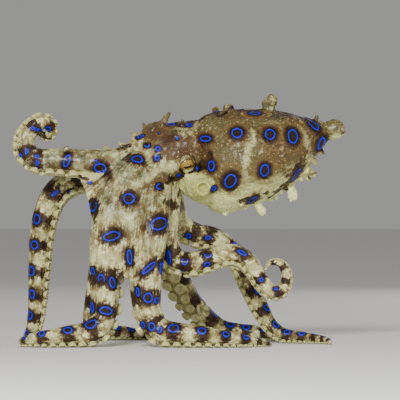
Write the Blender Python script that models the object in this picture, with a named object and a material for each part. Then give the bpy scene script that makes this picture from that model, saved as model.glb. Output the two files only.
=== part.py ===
# Greater blue-ringed octopus, a still model at life size.
# The mantle points to +X, the arm crown to -X, the animal's left side faces -Y, and +Z is up.
# It leans on its spread arms. Sizes are in millimetres, and each mesh is scaled to metres.
import math
import random
from collections import namedtuple

import bmesh
import bpy
from mathutils import Matrix, Vector

MM = 0.001
GAP = 0.3               # clear space between neighbouring nodes
UP = Vector((0, 0, 1))
DOWN = Vector((0, 0, -1))
LEFT_TO_RIGHT = Vector((0, 1, 0))

# The mantle, as sections across X: place, height of the back, height of the belly, half width
MANTLE_SECTIONS = [
    (0.2, 57.0, 37.0, 8.4), (3.0, 58.0, 33.6, 11.0), (7.0, 58.8, 32.9, 12.4), (12.0, 59.0, 34.6, 12.8),
    (17.0, 58.9, 36.3, 12.0), (21.5, 58.1, 39.0, 10.4), (25.5, 57.1, 42.3, 8.1), (29.0, 56.3, 46.8, 5.2),
    (32.2, 55.3, 51.6, 2.0),
]
MANTLE_SIDES = 22
MANTLE_STEPS = 2        # rings between two sections
SECTION_STEPS = 12      # places between two sections where a papilla may stand

# Papillae of the mantle: place along X, turn from the back towards the right side in degrees,
# length, root radius, lean towards the tail
PAPILLAE = [
    (17.3, -4, 3.8, 1.4, 0.3), (7.0, -14, 1.7, 1.4, 0.2), (4.0, 16, 1.9, 0.8, 0.0),
    (13.2, -60, 1.3, 1.1, 0.1), (27.6, -135, 2.3, 0.75, 0.75), (26.4, -160, 2.9, 0.95, 1.9),
    (22.4, -172, 3.8, 1.15, 0.3), (18.8, -174, 1.1, 0.7, 0.3), (14.2, -171, 3.5, 1.0, 0.6),
    (30.2, -165, 1.2, 0.55, 0.7), (25.0, -170, 0.9, 0.5, 0.3), (6.3, -168, 1.0, 0.7, 0.0),
    (13.0, 60, 2.2, 1.1, 0.3), (20.5, 95, 2.0, 1.0, 0.5), (9.0, 125, 1.9, 0.9, 0.2),
    (24.5, 40, 1.8, 0.9, 0.5), (17.0, 150, 2.2, 1.0, 0.4),
]
PAPILLA_SIDES = 7
PAPILLA_SINK = 0.6      # depth of the root beyond its own radius
PAPILLA_TAPER = (1.2, 1.0, 0.9, 1.0, 0.65)
SIDE_LOBE = ((17.6, -0.6, 57.6), (15.8, -1.0, 61.0), (1.1, 1.0, 0.6))     # beside the first papilla
TAIL_PAPILLA = ((29.4, 0, 53.0), (36.0, 0, 54.5))
TAIL_PAPILLA_RADII = (2.9, 2.5, 2.4, 2.5, 2.4, 1.3)
TAIL_PAPILLA_SIDES = 11

# The head, as sections along its bent axis: X, Z, downward tilt in degrees, half height, half width
HEAD_SECTIONS = [
    (-0.1, 48.3, 0, 8.4, 7.0), (-4.0, 47.9, 10, 8.0, 7.3), (-8.2, 47.2, 28, 8.3, 7.6),
    (-12.8, 43.6, 51, 8.8, 8.0),
]
HEAD_SIDES = 22
HEAD_STEPS = 3

# Each eye: its middle, the way it looks, and how far its mound stands round it
Eye = namedtuple("Eye", "name middle gaze mound")
EYES = [
    Eye("eye_left", Vector((-3.6, -6.1, 45.5)), Vector((0.2, -0.78, -0.6)).normalized(), 3.5),
    Eye("eye_right", Vector((-11.2, 4.2, 52.0)), Vector((-0.45, 0.72, 0.53)).normalized(), 4.2),
]
EYE_RADIUS = 2.2
EYE_SIDES = 14
EYE_RINGS = 8
MOUND_SINK = 0.5        # how far the mound's middle lies behind the eye's
LID_OPENING = 1.75      # radius of the hole between the lids
LID_THICKNESS = 0.45
LID_MARGIN = 0.3        # from the hole's edge to the middle of the lid
LID_SINK = 0.2          # how far the middle of the lid lies inside the mound
LID_POINTS = 12
LID_SIDES = 5
SOCKET_REACH = 5.0
SOCKET_FLARE = (0.9, 1.25)
SOCKET_SIDES = 10
BROW_PAPILLAE = [((-9.4, 2.6, 55.0), (-7.6, 3.2, 58.4), 0.9), ((-5.6, -5.0, 52.0), (-5.4, -6.4, 53.8), 0.8)]
BROW_TAPER = (1.0, 0.8, 0.4)

# The funnel, wide where it leaves the body below the head, bends to the left and ends in a tube
FUNNEL_ROUTE = [(1.6, 0.5, 40.4), (0.9, -3.5, 40.2), (0.5, -7.4, 39.8), (0.5, -10.4, 39.3), (0.8, -12.9, 39.2)]
FUNNEL_RADII = (5.1, 5.0, 4.1, 2.7, 1.7)
FUNNEL_BORE = 1.2
FUNNEL_BORE_DEPTH = 2.6
FUNNEL_BORE_FLARE = (0.7, 1.0, 1.1)
FUNNEL_BORE_SIDES = 12
FUNNEL_STEPS = 3
FUNNEL_SIDES = 16
LID_ROOM = 0.3          # how far the lids stand out of the mound

# The arm crown starts at the head's last section, and the arms' roots stand round it
CROWN_START = Vector((HEAD_SECTIONS[-1][0], 0, HEAD_SECTIONS[-1][1]))
CROWN_TILT = math.radians(HEAD_SECTIONS[-1][2])
CROWN_AXIS = Vector((-math.cos(CROWN_TILT), 0, -math.sin(CROWN_TILT)))
CROWN_BACK = Vector((-math.sin(CROWN_TILT), 0, math.cos(CROWN_TILT)))
CROWN_MIDDLE = Vector((-15.0, 0, 34.0))
ROOT_RING_RADIUS = 5.3

# Each arm: which side (-1 left, 1 right), its place from the back, its root radius, how far the
# web reaches along it, what share of that the web's edge draws back on the way to the next arm,
# where the arm is divided, which way it curls in the side view (0 where it doesn't), and the
# route of its middle beyond the root, with 0 for a height on the floor
Arm = namedtuple("Arm", "name hand place radius web scallop cuts curl route")
ARMS = [
    Arm("arm_left_1", -1, 22.5, 3.5, 18, 0.15, (29, 39), 1,
        [(-21.5, -3.8, 45.6), (-26.5, -5.0, 45.3), (-31.5, -5.3, 45.7), (-36.0, -5.2, 46.0),
         (-40.0, -5.2, 46.0), (-43.0, -5.4, 47.8), (-43.6, -5.4, 51.0), (-42.0, -5.2, 54.0),
         (-39.4, -4.6, 55.9), (-37.0, -3.6, 54.6), (-37.6, -2.4, 52.2), (-39.6, -1.2, 52.6),
         (-40.2, -0.2, 54.8)]),
    Arm("arm_left_2", -1, 67.5, 4.4, 33, 0.05, (42, 56), 0,
        [(-18.5, -9.0, 40.5), (-21.6, -11.6, 33.5), (-23.0, -12.7, 26.5), (-23.5, -13.2, 18.0),
         (-23.4, -13.6, 10.5), (-25.2, -14.6, 4.2), (-30.0, -16.6, 0), (-36.0, -18.0, 0),
         (-41.0, -16.8, 0), (-43.6, -13.0, 0), (-42.0, -9.0, 0)]),
    Arm("arm_left_3", -1, 112.5, 4.2, 33, 0.22, (44, 57), 0,
        [(-11.4, -10.0, 37.6), (-11.7, -13.2, 31.0), (-12.6, -14.8, 23.8), (-13.3, -15.2, 16.0),
         (-13.0, -15.6, 9.6), (-10.6, -16.4, 3.8), (-5.0, -18.0, 0), (1.5, -18.8, 0), (8.0, -18.0, 0),
         (13.6, -15.4, 0), (17.6, -11.4, 0)]),
    Arm("arm_left_4", -1, 157.5, 3.2, 15, 0.15, (34, 49), -1,
        [(-8.0, -4.2, 36.4), (-8.4, -5.6, 31.0), (-8.6, -6.0, 26.2), (-7.2, -6.2, 22.3), (-4.2, -6.5, 20.5),
         (-0.4, -6.8, 20.7), (3.6, -6.6, 22.0), (7.4, -6.5, 22.8), (10.8, -6.5, 21.8), (13.4, -6.5, 19.0),
         (15.5, -6.5, 15.6), (17.9, -6.6, 13.2), (20.6, -6.7, 14.0), (21.6, -6.8, 17.2), (20.4, -6.8, 20.2),
         (17.8, -6.4, 20.8), (16.4, -5.8, 19.0)]),
    Arm("arm_right_4", 1, 157.5, 3.0, 13, 0.15, (33, 48), -1,
        [(-7.0, 4.8, 37.2), (-6.4, 7.6, 32.8), (-4.8, 9.8, 29.6), (-1.4, 11.4, 27.6), (3.0, 12.6, 26.6),
         (7.0, 13.2, 24.2), (10.2, 13.6, 20.4), (12.4, 13.6, 15.2), (15.2, 12.8, 9.0), (18.6, 11.8, 3.6),
         (23.4, 10.6, 0), (28.4, 8.6, 0), (31.8, 5.4, 0), (32.6, 1.4, 0)]),
    Arm("arm_right_3", 1, 112.5, 3.9, 21, 0.15, (33, 51), 0,
        [(-11.0, 10.6, 38.4), (-11.4, 15.6, 31.8), (-9.6, 19.8, 24.4), (-6.2, 23.2, 16.4), (-2.0, 25.8, 9.2),
         (4.0, 27.2, 3.4), (9.6, 28.2, 0), (15.6, 27.4, 0), (21.0, 24.4, 0), (24.6, 20.0, 0)]),
    Arm("arm_right_2", 1, 67.5, 3.9, 21, 0.15, (33, 51), 0,
        [(-17.0, 9.4, 40.4), (-20.4, 13.4, 33.2), (-23.2, 17.0, 25.0), (-25.4, 20.4, 16.4), (-26.8, 23.6, 8.8),
         (-27.2, 27.2, 3.2), (-25.0, 31.2, 0), (-20.4, 34.0, 0), (-14.6, 34.8, 0), (-9.0, 33.0, 0)]),
    Arm("arm_right_1", 1, 22.5, 3.3, 14, 0.15, (27, 49), 1,
        [(-21.5, 4.6, 44.0), (-26.5, 6.2, 42.2), (-31.5, 7.0, 41.2), (-35.8, 7.2, 38.6), (-38.6, 7.4, 33.6),
         (-40.0, 7.8, 27.0), (-40.6, 8.4, 20.0), (-41.0, 9.4, 12.6), (-41.6, 11.0, 6.0), (-43.0, 14.4, 1.4),
         (-43.4, 19.0, 0), (-41.4, 23.4, 0), (-37.4, 26.0, 0)]),
]
ARM_TIP_RADIUS = 0.4
ARM_TAPER = 2.2         # how late along its length an arm thins
ARM_THINNING = 0.9      # how evenly it thins there
ARM_SIDES = 9
ARM_STEP = 2.5          # distance between an arm's rings
ROUTE_STEPS = 12        # places between two points of a route
PLACE_SPACING = 1.0     # distance between the known places along an arm
BACK_HEIGHT = 1.0       # an arm's back and its sucker side, as shares of its radius
FACE_HEIGHT = 0.85
FLOOR_HEIGHT = 1.2      # height of an arm's middle on the floor, as a share of its radius
FLOOR_SHARPNESS = 4     # how quickly an arm that comes down turns to lie on the floor
INWARD_FROM = 3.0       # height above which the suckers begin to face the mouth instead of the floor
INWARD_SPAN = 8.0
LENGTHS = ("base", "middle", "tip")

# Suckers, as shares of the arm's radius
SUCKER_SIDES = 7
SUCKER_RADIUS = 0.44
SUCKER_OUTLINE = ((0.3, 0.7), (1.02, 0.8), (1.32, 1.0))     # heights from the arm's middle and radii
SUCKER_DISH = 1.12      # height of the sunken middle
SUCKER_ROW = 0.46       # distance of each row from the arm's middle plane
SUCKER_SPACING = 2.0
SUCKER_SPACING_LEAST = 3.3
SUCKER_VARIATION = 0.08

WEB_RINGS = 9
WEB_POINTS = 4          # points from one arm to the next
WEB_SAG = 0.06
WEB_OUTSIDE = 0.7       # height of the web on each arm, as a share of its radius
WEB_INSIDE = ((1.0, 0.12), (0.84, 0.3), (0.7, 0.62))   # share of the reach, share drawn in

SKIN = {"mantle": (0.62, 0.52, 0.4), "head": (0.5, 0.36, 0.25), "arm_crown": (0.6, 0.5, 0.4),
        "funnel": (0.6, 0.58, 0.38), "eye": (0.55, 0.42, 0.1), "base": (0.58, 0.48, 0.37),
        "middle": (0.5, 0.4, 0.3), "tip": (0.45, 0.36, 0.28)}

Frame = namedtuple("Frame", "at along face side radius run")


def curve_through(points, steps):
    """Rows of numbers on a smooth curve through the given rows, with steps rows in each span."""
    rows = [Vector(point) for point in points]
    rows = [2 * rows[0] - rows[1]] + rows + [2 * rows[-1] - rows[-2]]
    curve = []
    for before, start, end, after in zip(rows, rows[1:], rows[2:], rows[3:]):
        for step in range(steps):
            t = step / steps
            bend = 2 * before - 5 * start + 4 * end - after
            twist = 3 * start - before - 3 * end + after
            curve.append((2 * start + (end - before) * t + bend * t ** 2 + twist * t ** 3) / 2)
    return curve + [rows[-2]]


def plain_mesh(name, bm):
    """An object at the origin from a bmesh in millimetres."""
    bmesh.ops.recalc_face_normals(bm, faces=bm.faces[:])
    bmesh.ops.scale(bm, vec=Vector((MM, MM, MM)), verts=bm.verts[:])
    mesh = bpy.data.meshes.new(name)
    bm.to_mesh(mesh)
    bm.free()
    node = bpy.data.objects.new(name, mesh)
    bpy.context.scene.collection.objects.link(node)
    return node


def loft(name, rings, ends=(None, None)):
    """A closed body through rings of points, with a middle point at an end where one is given."""
    bm = bmesh.new()
    loops = [[bm.verts.new(point) for point in ring] for ring in rings]
    for low, high in zip(loops, loops[1:]):
        for k in range(len(low)):
            after = (k + 1) % len(low)
            bm.faces.new((low[k], low[after], high[after], high[k]))
    for loop, middle in zip((loops[0], loops[-1]), ends):
        if middle is None:
            bm.faces.new(loop)
            continue
        centre = bm.verts.new(middle)
        for k in range(len(loop)):
            bm.faces.new((loop[k], loop[(k + 1) % len(loop)], centre))
    return plain_mesh(name, bm)


def ellipse(middle, up, across, height, width, sides):
    """Points round an ellipse, from its top."""
    turns = [2 * math.pi * k / sides for k in range(sides)]
    return [middle + up * (height * math.cos(a)) + across * (width * math.sin(a)) for a in turns]


def apply_modifiers(node):
    """Turns what the modifiers show into the object's own mesh."""
    shown = node.evaluated_get(bpy.context.evaluated_depsgraph_get())
    mesh = bpy.data.meshes.new_from_object(shown)
    node.modifiers.clear()
    node.data = mesh


def combine(node, others, operation):
    """Joins other closed objects to a node, or cuts them out of it, and removes them."""
    if not others:
        return node
    group = bpy.data.collections.new(node.name + "_pieces")
    for other in others:
        bpy.context.scene.collection.objects.unlink(other)
        group.objects.link(other)
    boolean = node.modifiers.new("combine", "BOOLEAN")
    boolean.operation = operation
    boolean.operand_type = "COLLECTION"
    boolean.collection = group
    boolean.solver = "EXACT"
    bpy.context.scene.collection.children.link(group)
    apply_modifiers(node)
    for other in list(group.objects):
        bpy.data.objects.remove(other)
    bpy.data.collections.remove(group)
    return node


def keep_side(node, point, normal):
    """Cuts a node by a plane and keeps what lies ahead of it."""
    bm = bmesh.new()
    bm.from_mesh(node.data)
    geometry = bm.verts[:] + bm.edges[:] + bm.faces[:]
    cut = bmesh.ops.bisect_plane(bm, geom=geometry, dist=1e-7, plane_co=Vector(point) * MM,
                                 plane_no=normal, clear_inner=True)
    rim = [piece for piece in cut["geom_cut"] if isinstance(piece, bmesh.types.BMEdge)]
    bmesh.ops.holes_fill(bm, edges=rim, sides=0)
    bm.to_mesh(node.data)
    bm.free()


def keep_largest(node):
    """Leaves the largest closed surface of a node and drops any loose scrap or sealed hollow."""
    bm = bmesh.new()
    bm.from_mesh(node.data)
    waiting = set(bm.verts)
    shells = []
    while waiting:
        shell = {waiting.pop()}
        edge = list(shell)
        while edge:
            near = [e.other_vert(v) for v in edge for e in v.link_edges]
            edge = [v for v in set(near) if v in waiting]
            waiting.difference_update(edge)
            shell.update(edge)
        shells.append(shell)
    shells.sort(key=len)
    scraps = [v for shell in shells[:-1] for v in shell]
    bmesh.ops.delete(bm, geom=scraps, context="VERTS")
    bm.to_mesh(node.data)
    bm.free()


def finish(node, name, colour, roughness=0.4):
    """Gives a node its name and its material."""
    keep_largest(node)
    node.name = name
    node.data.name = name
    material = bpy.data.materials.new(name)
    material.use_nodes = True
    shader = material.node_tree.nodes["Principled BSDF"]
    shader.inputs["Base Color"].default_value = (*colour, 1)
    shader.inputs["Roughness"].default_value = roughness
    node.data.materials.clear()
    node.data.materials.append(material)
    return node


def cone(start, end, radii, sides=PAPILLA_SIDES):
    """A papilla from its sunken root to a blunt end."""
    start, end = Vector(start), Vector(end)
    along = (end - start).normalized()
    across = along.orthogonal().normalized()
    up = across.cross(along)
    steps = len(radii) - 1
    rings = [ellipse(start.lerp(end, k / steps), up, across, radius, radius, sides)
             for k, radius in enumerate(radii)]
    return loft("papilla", rings)


def mantle_section(x):
    """The mantle's middle height, half height and half width at a place along X."""
    rows = curve_through(MANTLE_SECTIONS, SECTION_STEPS)
    row = min(rows, key=lambda candidate: abs(candidate[0] - x))
    return (row[1] + row[2]) / 2, (row[1] - row[2]) / 2, row[3]


def mantle_form(grow=0.0):
    """The mantle's smooth body."""
    rings = []
    for k, (x, back, belly, width) in enumerate(curve_through(MANTLE_SECTIONS, MANTLE_STEPS)):
        middle = Vector((x - grow * (k == 0), 0, (back + belly) / 2))
        height = (back - belly) / 2
        rings.append(ellipse(middle, UP, LEFT_TO_RIGHT, height + grow, width + grow, MANTLE_SIDES))
    return loft("mantle_form", rings)


def mantle_papilla(x, turn, length, radius, lean):
    """A papilla that stands out of the mantle, with its root well inside."""
    middle, height, width = mantle_section(x)
    a = math.radians(turn)
    surface = Vector((x, width * math.sin(a), middle + height * math.cos(a)))
    outward = Vector((lean, math.sin(a) / width * height, math.cos(a))).normalized()
    return cone(surface - outward * (radius + PAPILLA_SINK), surface + outward * length,
                [radius * share for share in PAPILLA_TAPER])


def make_mantle():
    node = mantle_form()
    papillae = [mantle_papilla(*row) for row in PAPILLAE]
    papillae.append(cone(*SIDE_LOBE))
    papillae.append(cone(*TAIL_PAPILLA, TAIL_PAPILLA_RADII, TAIL_PAPILLA_SIDES))
    combine(node, papillae, "UNION")
    return finish(node, "mantle", SKIN["mantle"])


def head_form(grow=0.0):
    """The smooth head without its eye mounds."""
    rings = []
    for k, (x, z, tilt, height, width) in enumerate(head_rows()):
        middle = Vector((x + grow * (k == 0), 0, z))
        up = Vector((-math.sin(tilt), 0, math.cos(tilt)))
        rings.append(ellipse(middle, up, LEFT_TO_RIGHT, height + grow, width + grow, HEAD_SIDES))
    return loft("head_form", rings)


def head_rows():
    """The head's sections on a smooth curve, with the tilt in radians."""
    rows = [(x, z, math.radians(tilt), height, width) for x, z, tilt, height, width in HEAD_SECTIONS]
    smooth = []
    for start, end in zip(rows, rows[1:]):
        for step in range(HEAD_STEPS):
            t = step / HEAD_STEPS
            smooth.append([a + (b - a) * t for a, b in zip(start, end)])
    return smooth + [rows[-1]]


def ball(name, middle, radius):
    """A sphere with its poles along Z."""
    bm = bmesh.new()
    bmesh.ops.create_uvsphere(bm, u_segments=EYE_SIDES, v_segments=EYE_RINGS, radius=radius)
    bmesh.ops.translate(bm, verts=bm.verts[:], vec=middle)
    return plain_mesh(name, bm)


def lid_ring(eye):
    """The ring of skin round an eye's opening."""
    distance = math.sqrt((eye.mound - LID_SINK) ** 2 - LID_OPENING ** 2) - MOUND_SINK
    middle = eye.middle + eye.gaze * distance
    across = eye.gaze.orthogonal().normalized()
    up = eye.gaze.cross(across)
    bm = bmesh.new()
    loops = []
    for k in range(LID_POINTS):
        turn = 2 * math.pi * k / LID_POINTS
        outward = across * math.cos(turn) + up * math.sin(turn)
        centre = middle + outward * (LID_OPENING + LID_MARGIN)
        loops.append([bm.verts.new(point) for point in
                      ellipse(centre, outward, eye.gaze, LID_THICKNESS, LID_THICKNESS, LID_SIDES)])
    for k, loop in enumerate(loops):
        after = loops[(k + 1) % len(loops)]
        for i in range(LID_SIDES):
            j = (i + 1) % LID_SIDES
            bm.faces.new((loop[i], loop[j], after[j], after[i]))
    return plain_mesh("lid", bm)


def make_head():
    """The head, with its eye mounds, lids and brow papillae, and a socket for each eye."""
    node = head_form()
    added = [ball("mound", eye.middle - eye.gaze * MOUND_SINK, eye.mound) for eye in EYES]
    added += [lid_ring(eye) for eye in EYES]
    for start, end, radius in BROW_PAPILLAE:
        added.append(cone(start, end, [radius * share for share in BROW_TAPER]))
    combine(node, added, "UNION")
    sockets = []
    for eye in EYES:
        sockets.append(ball("socket", eye.middle, EYE_RADIUS + GAP))
        sockets.append(cone(eye.middle, eye.middle + eye.gaze * SOCKET_REACH,
                            [LID_OPENING * share for share in SOCKET_FLARE], SOCKET_SIDES))
    combine(node, sockets, "DIFFERENCE")
    keep_side(node, (HEAD_SECTIONS[0][0], 0, 0), Vector((-1, 0, 0)))
    return finish(node, "head", SKIN["head"])


def make_funnel():
    """The funnel, which comes out between head and mantle and bends to the left side."""
    route = curve_through(FUNNEL_ROUTE, FUNNEL_STEPS)
    radii = curve_through([(radius, 0, 0) for radius in FUNNEL_RADII], FUNNEL_STEPS)
    rings = []
    for k, point in enumerate(route):
        ahead = (route[min(k + 1, len(route) - 1)] - route[max(k - 1, 0)]).normalized()
        across = ahead.cross(DOWN).normalized()
        rings.append(ellipse(point, ahead.cross(across), across, radii[k][0], radii[k][0], FUNNEL_SIDES))
    node = loft("funnel_form", rings)
    way = (route[-1] - route[-2]).normalized()
    bore = cone(route[-1] - way * FUNNEL_BORE_DEPTH, route[-1] + way,
                [FUNNEL_BORE * share for share in FUNNEL_BORE_FLARE], FUNNEL_BORE_SIDES)
    mounds = [ball("mound", eye.middle - eye.gaze * MOUND_SINK, eye.mound + LID_ROOM + GAP) for eye in EYES]
    combine(node, [mantle_form(GAP), head_form(GAP), bore, *mounds], "DIFFERENCE")
    return finish(node, "funnel", SKIN["funnel"])


def arm_radius(arm, share):
    """An arm's radius at a share of its length."""
    return ARM_TIP_RADIUS + (arm.radius - ARM_TIP_RADIUS) * (1 - share ** ARM_TAPER) ** ARM_THINNING


def arm_frames(arm):
    """Places at even distances along an arm, from its root to its tip."""
    a = math.radians(arm.place)
    root = CROWN_START + (CROWN_BACK * math.cos(a) + Vector((0, arm.hand, 0)) * math.sin(a)) * ROOT_RING_RADIUS
    curve = curve_through([root] + arm.route, ROUTE_STEPS)
    runs = [0.0]
    for start, end in zip(curve, curve[1:]):
        runs.append(runs[-1] + (end - start).length)
    length = runs[-1]
    count = round(length / PLACE_SPACING)
    middles, at = [], 0
    for k in range(count + 1):
        run = length * k / count
        while at < len(runs) - 2 and runs[at + 1] < run:
            at += 1
        point = curve[at].lerp(curve[at + 1], (run - runs[at]) / (runs[at + 1] - runs[at]))
        least = FLOOR_HEIGHT * arm_radius(arm, k / count)
        point.z = (max(point.z, 0) ** FLOOR_SHARPNESS + least ** FLOOR_SHARPNESS) ** (1 / FLOOR_SHARPNESS)
        middles.append(point)
    frames = []
    for k, point in enumerate(middles):
        along = (middles[min(k + 1, count)] - middles[max(k - 1, 0)]).normalized()
        if arm.curl:
            face = along.cross(LEFT_TO_RIGHT) * arm.curl
        else:
            lift = min(max((point.z - INWARD_FROM) / INWARD_SPAN, 0), 1)
            face = DOWN + (CROWN_MIDDLE - point).normalized() * lift
        face = (face - along * face.dot(along)).normalized()
        side = along.cross(face)
        frames.append(Frame(point, along, face, side, arm_radius(arm, k / count), length * k / count))
    return frames


def frame_at(frames, run):
    """The place at a distance along an arm."""
    for start, end in zip(frames, frames[1:]):
        if run <= end.run:
            break
    t = min(max((run - start.run) / (end.run - start.run), 0), 1)
    mixed = [a.lerp(b, t) for a, b in zip(start[:4], end[:4])]
    along = mixed[1].normalized()
    face = (mixed[2] - along * mixed[2].dot(along)).normalized()
    return Frame(mixed[0], along, face, along.cross(face), start.radius + (end.radius - start.radius) * t, run)


def arm_ring(frame, shift=0.0):
    """Points round an arm, with its flatter side towards the suckers."""
    points = []
    for k in range(ARM_SIDES):
        a = 2 * math.pi * k / ARM_SIDES
        height = math.cos(a) * (BACK_HEIGHT if math.cos(a) > 0 else FACE_HEIGHT)
        points.append(frame.at + frame.along * shift
                      + (frame.side * math.sin(a) - frame.face * height) * frame.radius)
    return points


def arm_length(arm, start, end):
    """A length of an arm as a plain tube, with flat ends that keep half the gap to the next."""
    frames = arm_frames(arm)
    count = max(3, round((end - start) / ARM_STEP))
    rings = []
    for k in range(count + 1):
        run = start + (end - start) * k / count
        shift = GAP / 2 * ((k == 0) - (k == count))
        rings.append(arm_ring(frame_at(frames, run), shift))
    return loft("arm_length", rings)


def sucker(frame, row, size, turn):
    """One cup-shaped sucker, rooted deep in the arm."""
    scale = frame.radius
    middle = frame.at + frame.side * (row * SUCKER_ROW * scale)
    forward = frame.along * math.cos(turn) + frame.side * math.sin(turn)
    sideways = frame.face.cross(forward)
    rings = []
    for height, share in SUCKER_OUTLINE:
        radius = SUCKER_RADIUS * size * share * scale
        place = middle + frame.face * (height * scale)
        rings.append(ellipse(place, forward, sideways, radius, radius, SUCKER_SIDES))
    dish = middle + frame.face * (SUCKER_DISH * scale)
    return loft("sucker", rings, (None, dish))


def suckers(arm, start, end, seed):
    """Two staggered rows of suckers along a length of an arm."""
    draw = random.Random(seed)
    frames = arm_frames(arm)
    rows, run, row = [], start, 1
    while run < end:
        frame = frame_at(frames, run)
        reach = SUCKER_RADIUS * frame.radius * (1 + SUCKER_VARIATION) + GAP
        if start + reach < run < end - reach:
            size = 1 + draw.uniform(-SUCKER_VARIATION, SUCKER_VARIATION)
            rows.append(sucker(frame, row, size, draw.uniform(0, 1)))
        run += max(SUCKER_SPACING * frame.radius, SUCKER_SPACING_LEAST) / 2
        row = -row
    return rows


def make_arm(arm, seed):
    """The three lengths of an arm beyond the web."""
    length = arm_frames(arm)[-1].run
    stops = (arm.web + 1, *arm.cuts, length)
    for part, (start, end) in enumerate(zip(stops, stops[1:])):
        node = arm_length(arm, start, end)
        combine(node, suckers(arm, start, end, seed + part), "UNION")
        keep_side(node, (0, 0, 0), -DOWN)
        finish(node, arm.name + "_" + LENGTHS[part], SKIN[LENGTHS[part]])


def web_ring(paths, share, drawn_in=0.0):
    """A ring of points over the arms and the web between them, at a share of the web's reach."""
    ring = []
    for k, (arm, frames) in enumerate(paths):
        next_arm, next_frames = paths[(k + 1) % len(paths)]
        for j in range(WEB_POINTS):
            t = j / WEB_POINTS
            reach = share * (1 - arm.scallop * share * math.sin(math.pi * t))
            ends = [frame_at(frames, reach * arm.web), frame_at(next_frames, reach * next_arm.web)]
            near, far = [frame.at - frame.face * (frame.radius * WEB_OUTSIDE) for frame in ends]
            ring.append((near.lerp(far, t), WEB_SAG * share * math.sin(math.pi * t)))
    centre = sum((point for point, sag in ring), Vector()) / len(ring)
    return [point.lerp(centre, drawn_in + sag) for point, sag in ring], centre


def make_crown():
    """The arm crown: the arms' roots and the web between them, hollowed to the mouth."""
    paths = [(arm, arm_frames(arm)) for arm in ARMS]
    outside = [web_ring(paths, k / (WEB_RINGS - 1)) for k in range(WEB_RINGS)]
    inside = [web_ring(paths, share, drawn_in) for share, drawn_in in WEB_INSIDE]
    rings = [ring for ring, centre in outside + inside]
    node = loft("crown_form", rings, (outside[0][1], inside[-1][1]))
    roots = [arm_length(arm, -GAP / 2, arm.web + 1) for arm in ARMS]
    combine(node, roots, "UNION")
    keep_side(node, CROWN_START + CROWN_AXIS * GAP, CROWN_AXIS)
    return finish(node, "arm_crown", SKIN["arm_crown"])


def make_eye(eye):
    node = ball(eye.name, eye.middle, EYE_RADIUS)
    return finish(node, eye.name, SKIN["eye"], roughness=0.1)


def centre_on_floor(nodes):
    """Moves the whole animal so that the middle of its box's bottom is the origin."""
    corners = [vertex.co for node in nodes for vertex in node.data.vertices]
    low = Vector(min(corner[axis] for corner in corners) for axis in range(3))
    high = Vector(max(corner[axis] for corner in corners) for axis in range(3))
    shift = Matrix.Translation(-Vector(((low.x + high.x) / 2, (low.y + high.y) / 2, low.z)))
    for node in nodes:
        node.data.transform(shift)


def main():
    for old in list(bpy.data.objects):
        bpy.data.objects.remove(old)
    make_mantle()
    make_head()
    make_funnel()
    for eye in EYES:
        make_eye(eye)
    make_crown()
    for seed, arm in enumerate(ARMS):
        make_arm(arm, 10 * seed)
    octopus = bpy.data.collections.new("blue_ringed_octopus")
    bpy.context.scene.collection.children.link(octopus)
    nodes = list(bpy.context.scene.collection.objects)
    for node in nodes:
        bpy.context.scene.collection.objects.unlink(node)
        octopus.objects.link(node)
    centre_on_floor(nodes)


main()
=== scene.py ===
# Greater blue-ringed octopus: skin, rings, suckers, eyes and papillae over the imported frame
import math
import random
from collections import namedtuple

import bmesh
import bpy
import numpy as np
from mathutils import Matrix, Vector, noise
from mathutils.bvhtree import BVHTree
from mathutils.kdtree import KDTree


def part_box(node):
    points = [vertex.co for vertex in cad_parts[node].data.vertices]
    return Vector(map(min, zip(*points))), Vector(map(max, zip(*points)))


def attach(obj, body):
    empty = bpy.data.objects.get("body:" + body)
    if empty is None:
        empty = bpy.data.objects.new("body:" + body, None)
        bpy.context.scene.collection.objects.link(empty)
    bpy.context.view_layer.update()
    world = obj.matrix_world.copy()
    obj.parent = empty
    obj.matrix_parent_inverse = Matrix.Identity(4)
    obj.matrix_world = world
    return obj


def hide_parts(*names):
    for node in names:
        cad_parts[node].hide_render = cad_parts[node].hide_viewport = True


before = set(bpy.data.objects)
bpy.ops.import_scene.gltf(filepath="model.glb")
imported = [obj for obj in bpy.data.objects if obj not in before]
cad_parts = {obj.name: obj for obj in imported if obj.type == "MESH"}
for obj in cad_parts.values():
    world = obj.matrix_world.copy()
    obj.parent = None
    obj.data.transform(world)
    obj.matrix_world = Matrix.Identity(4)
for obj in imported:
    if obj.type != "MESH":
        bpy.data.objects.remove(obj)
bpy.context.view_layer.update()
print("frame loaded")

# Everything below is in millimetres, as the animal was measured; toWorld puts it in the frame
mm = 0.001
eyeLeftMiddle = Vector((-3.6, -6.1, 45.5))
eyeLow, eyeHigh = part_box("eye_left")
shift = (eyeLow + eyeHigh) / 2 - eyeLeftMiddle * mm
toWorld = Matrix.Translation(shift) @ Matrix.Scale(mm, 4)

camera = {"middle": (0.0, 36.25), "frameWidth": 100.0, "distance": 1000.0}

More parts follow.
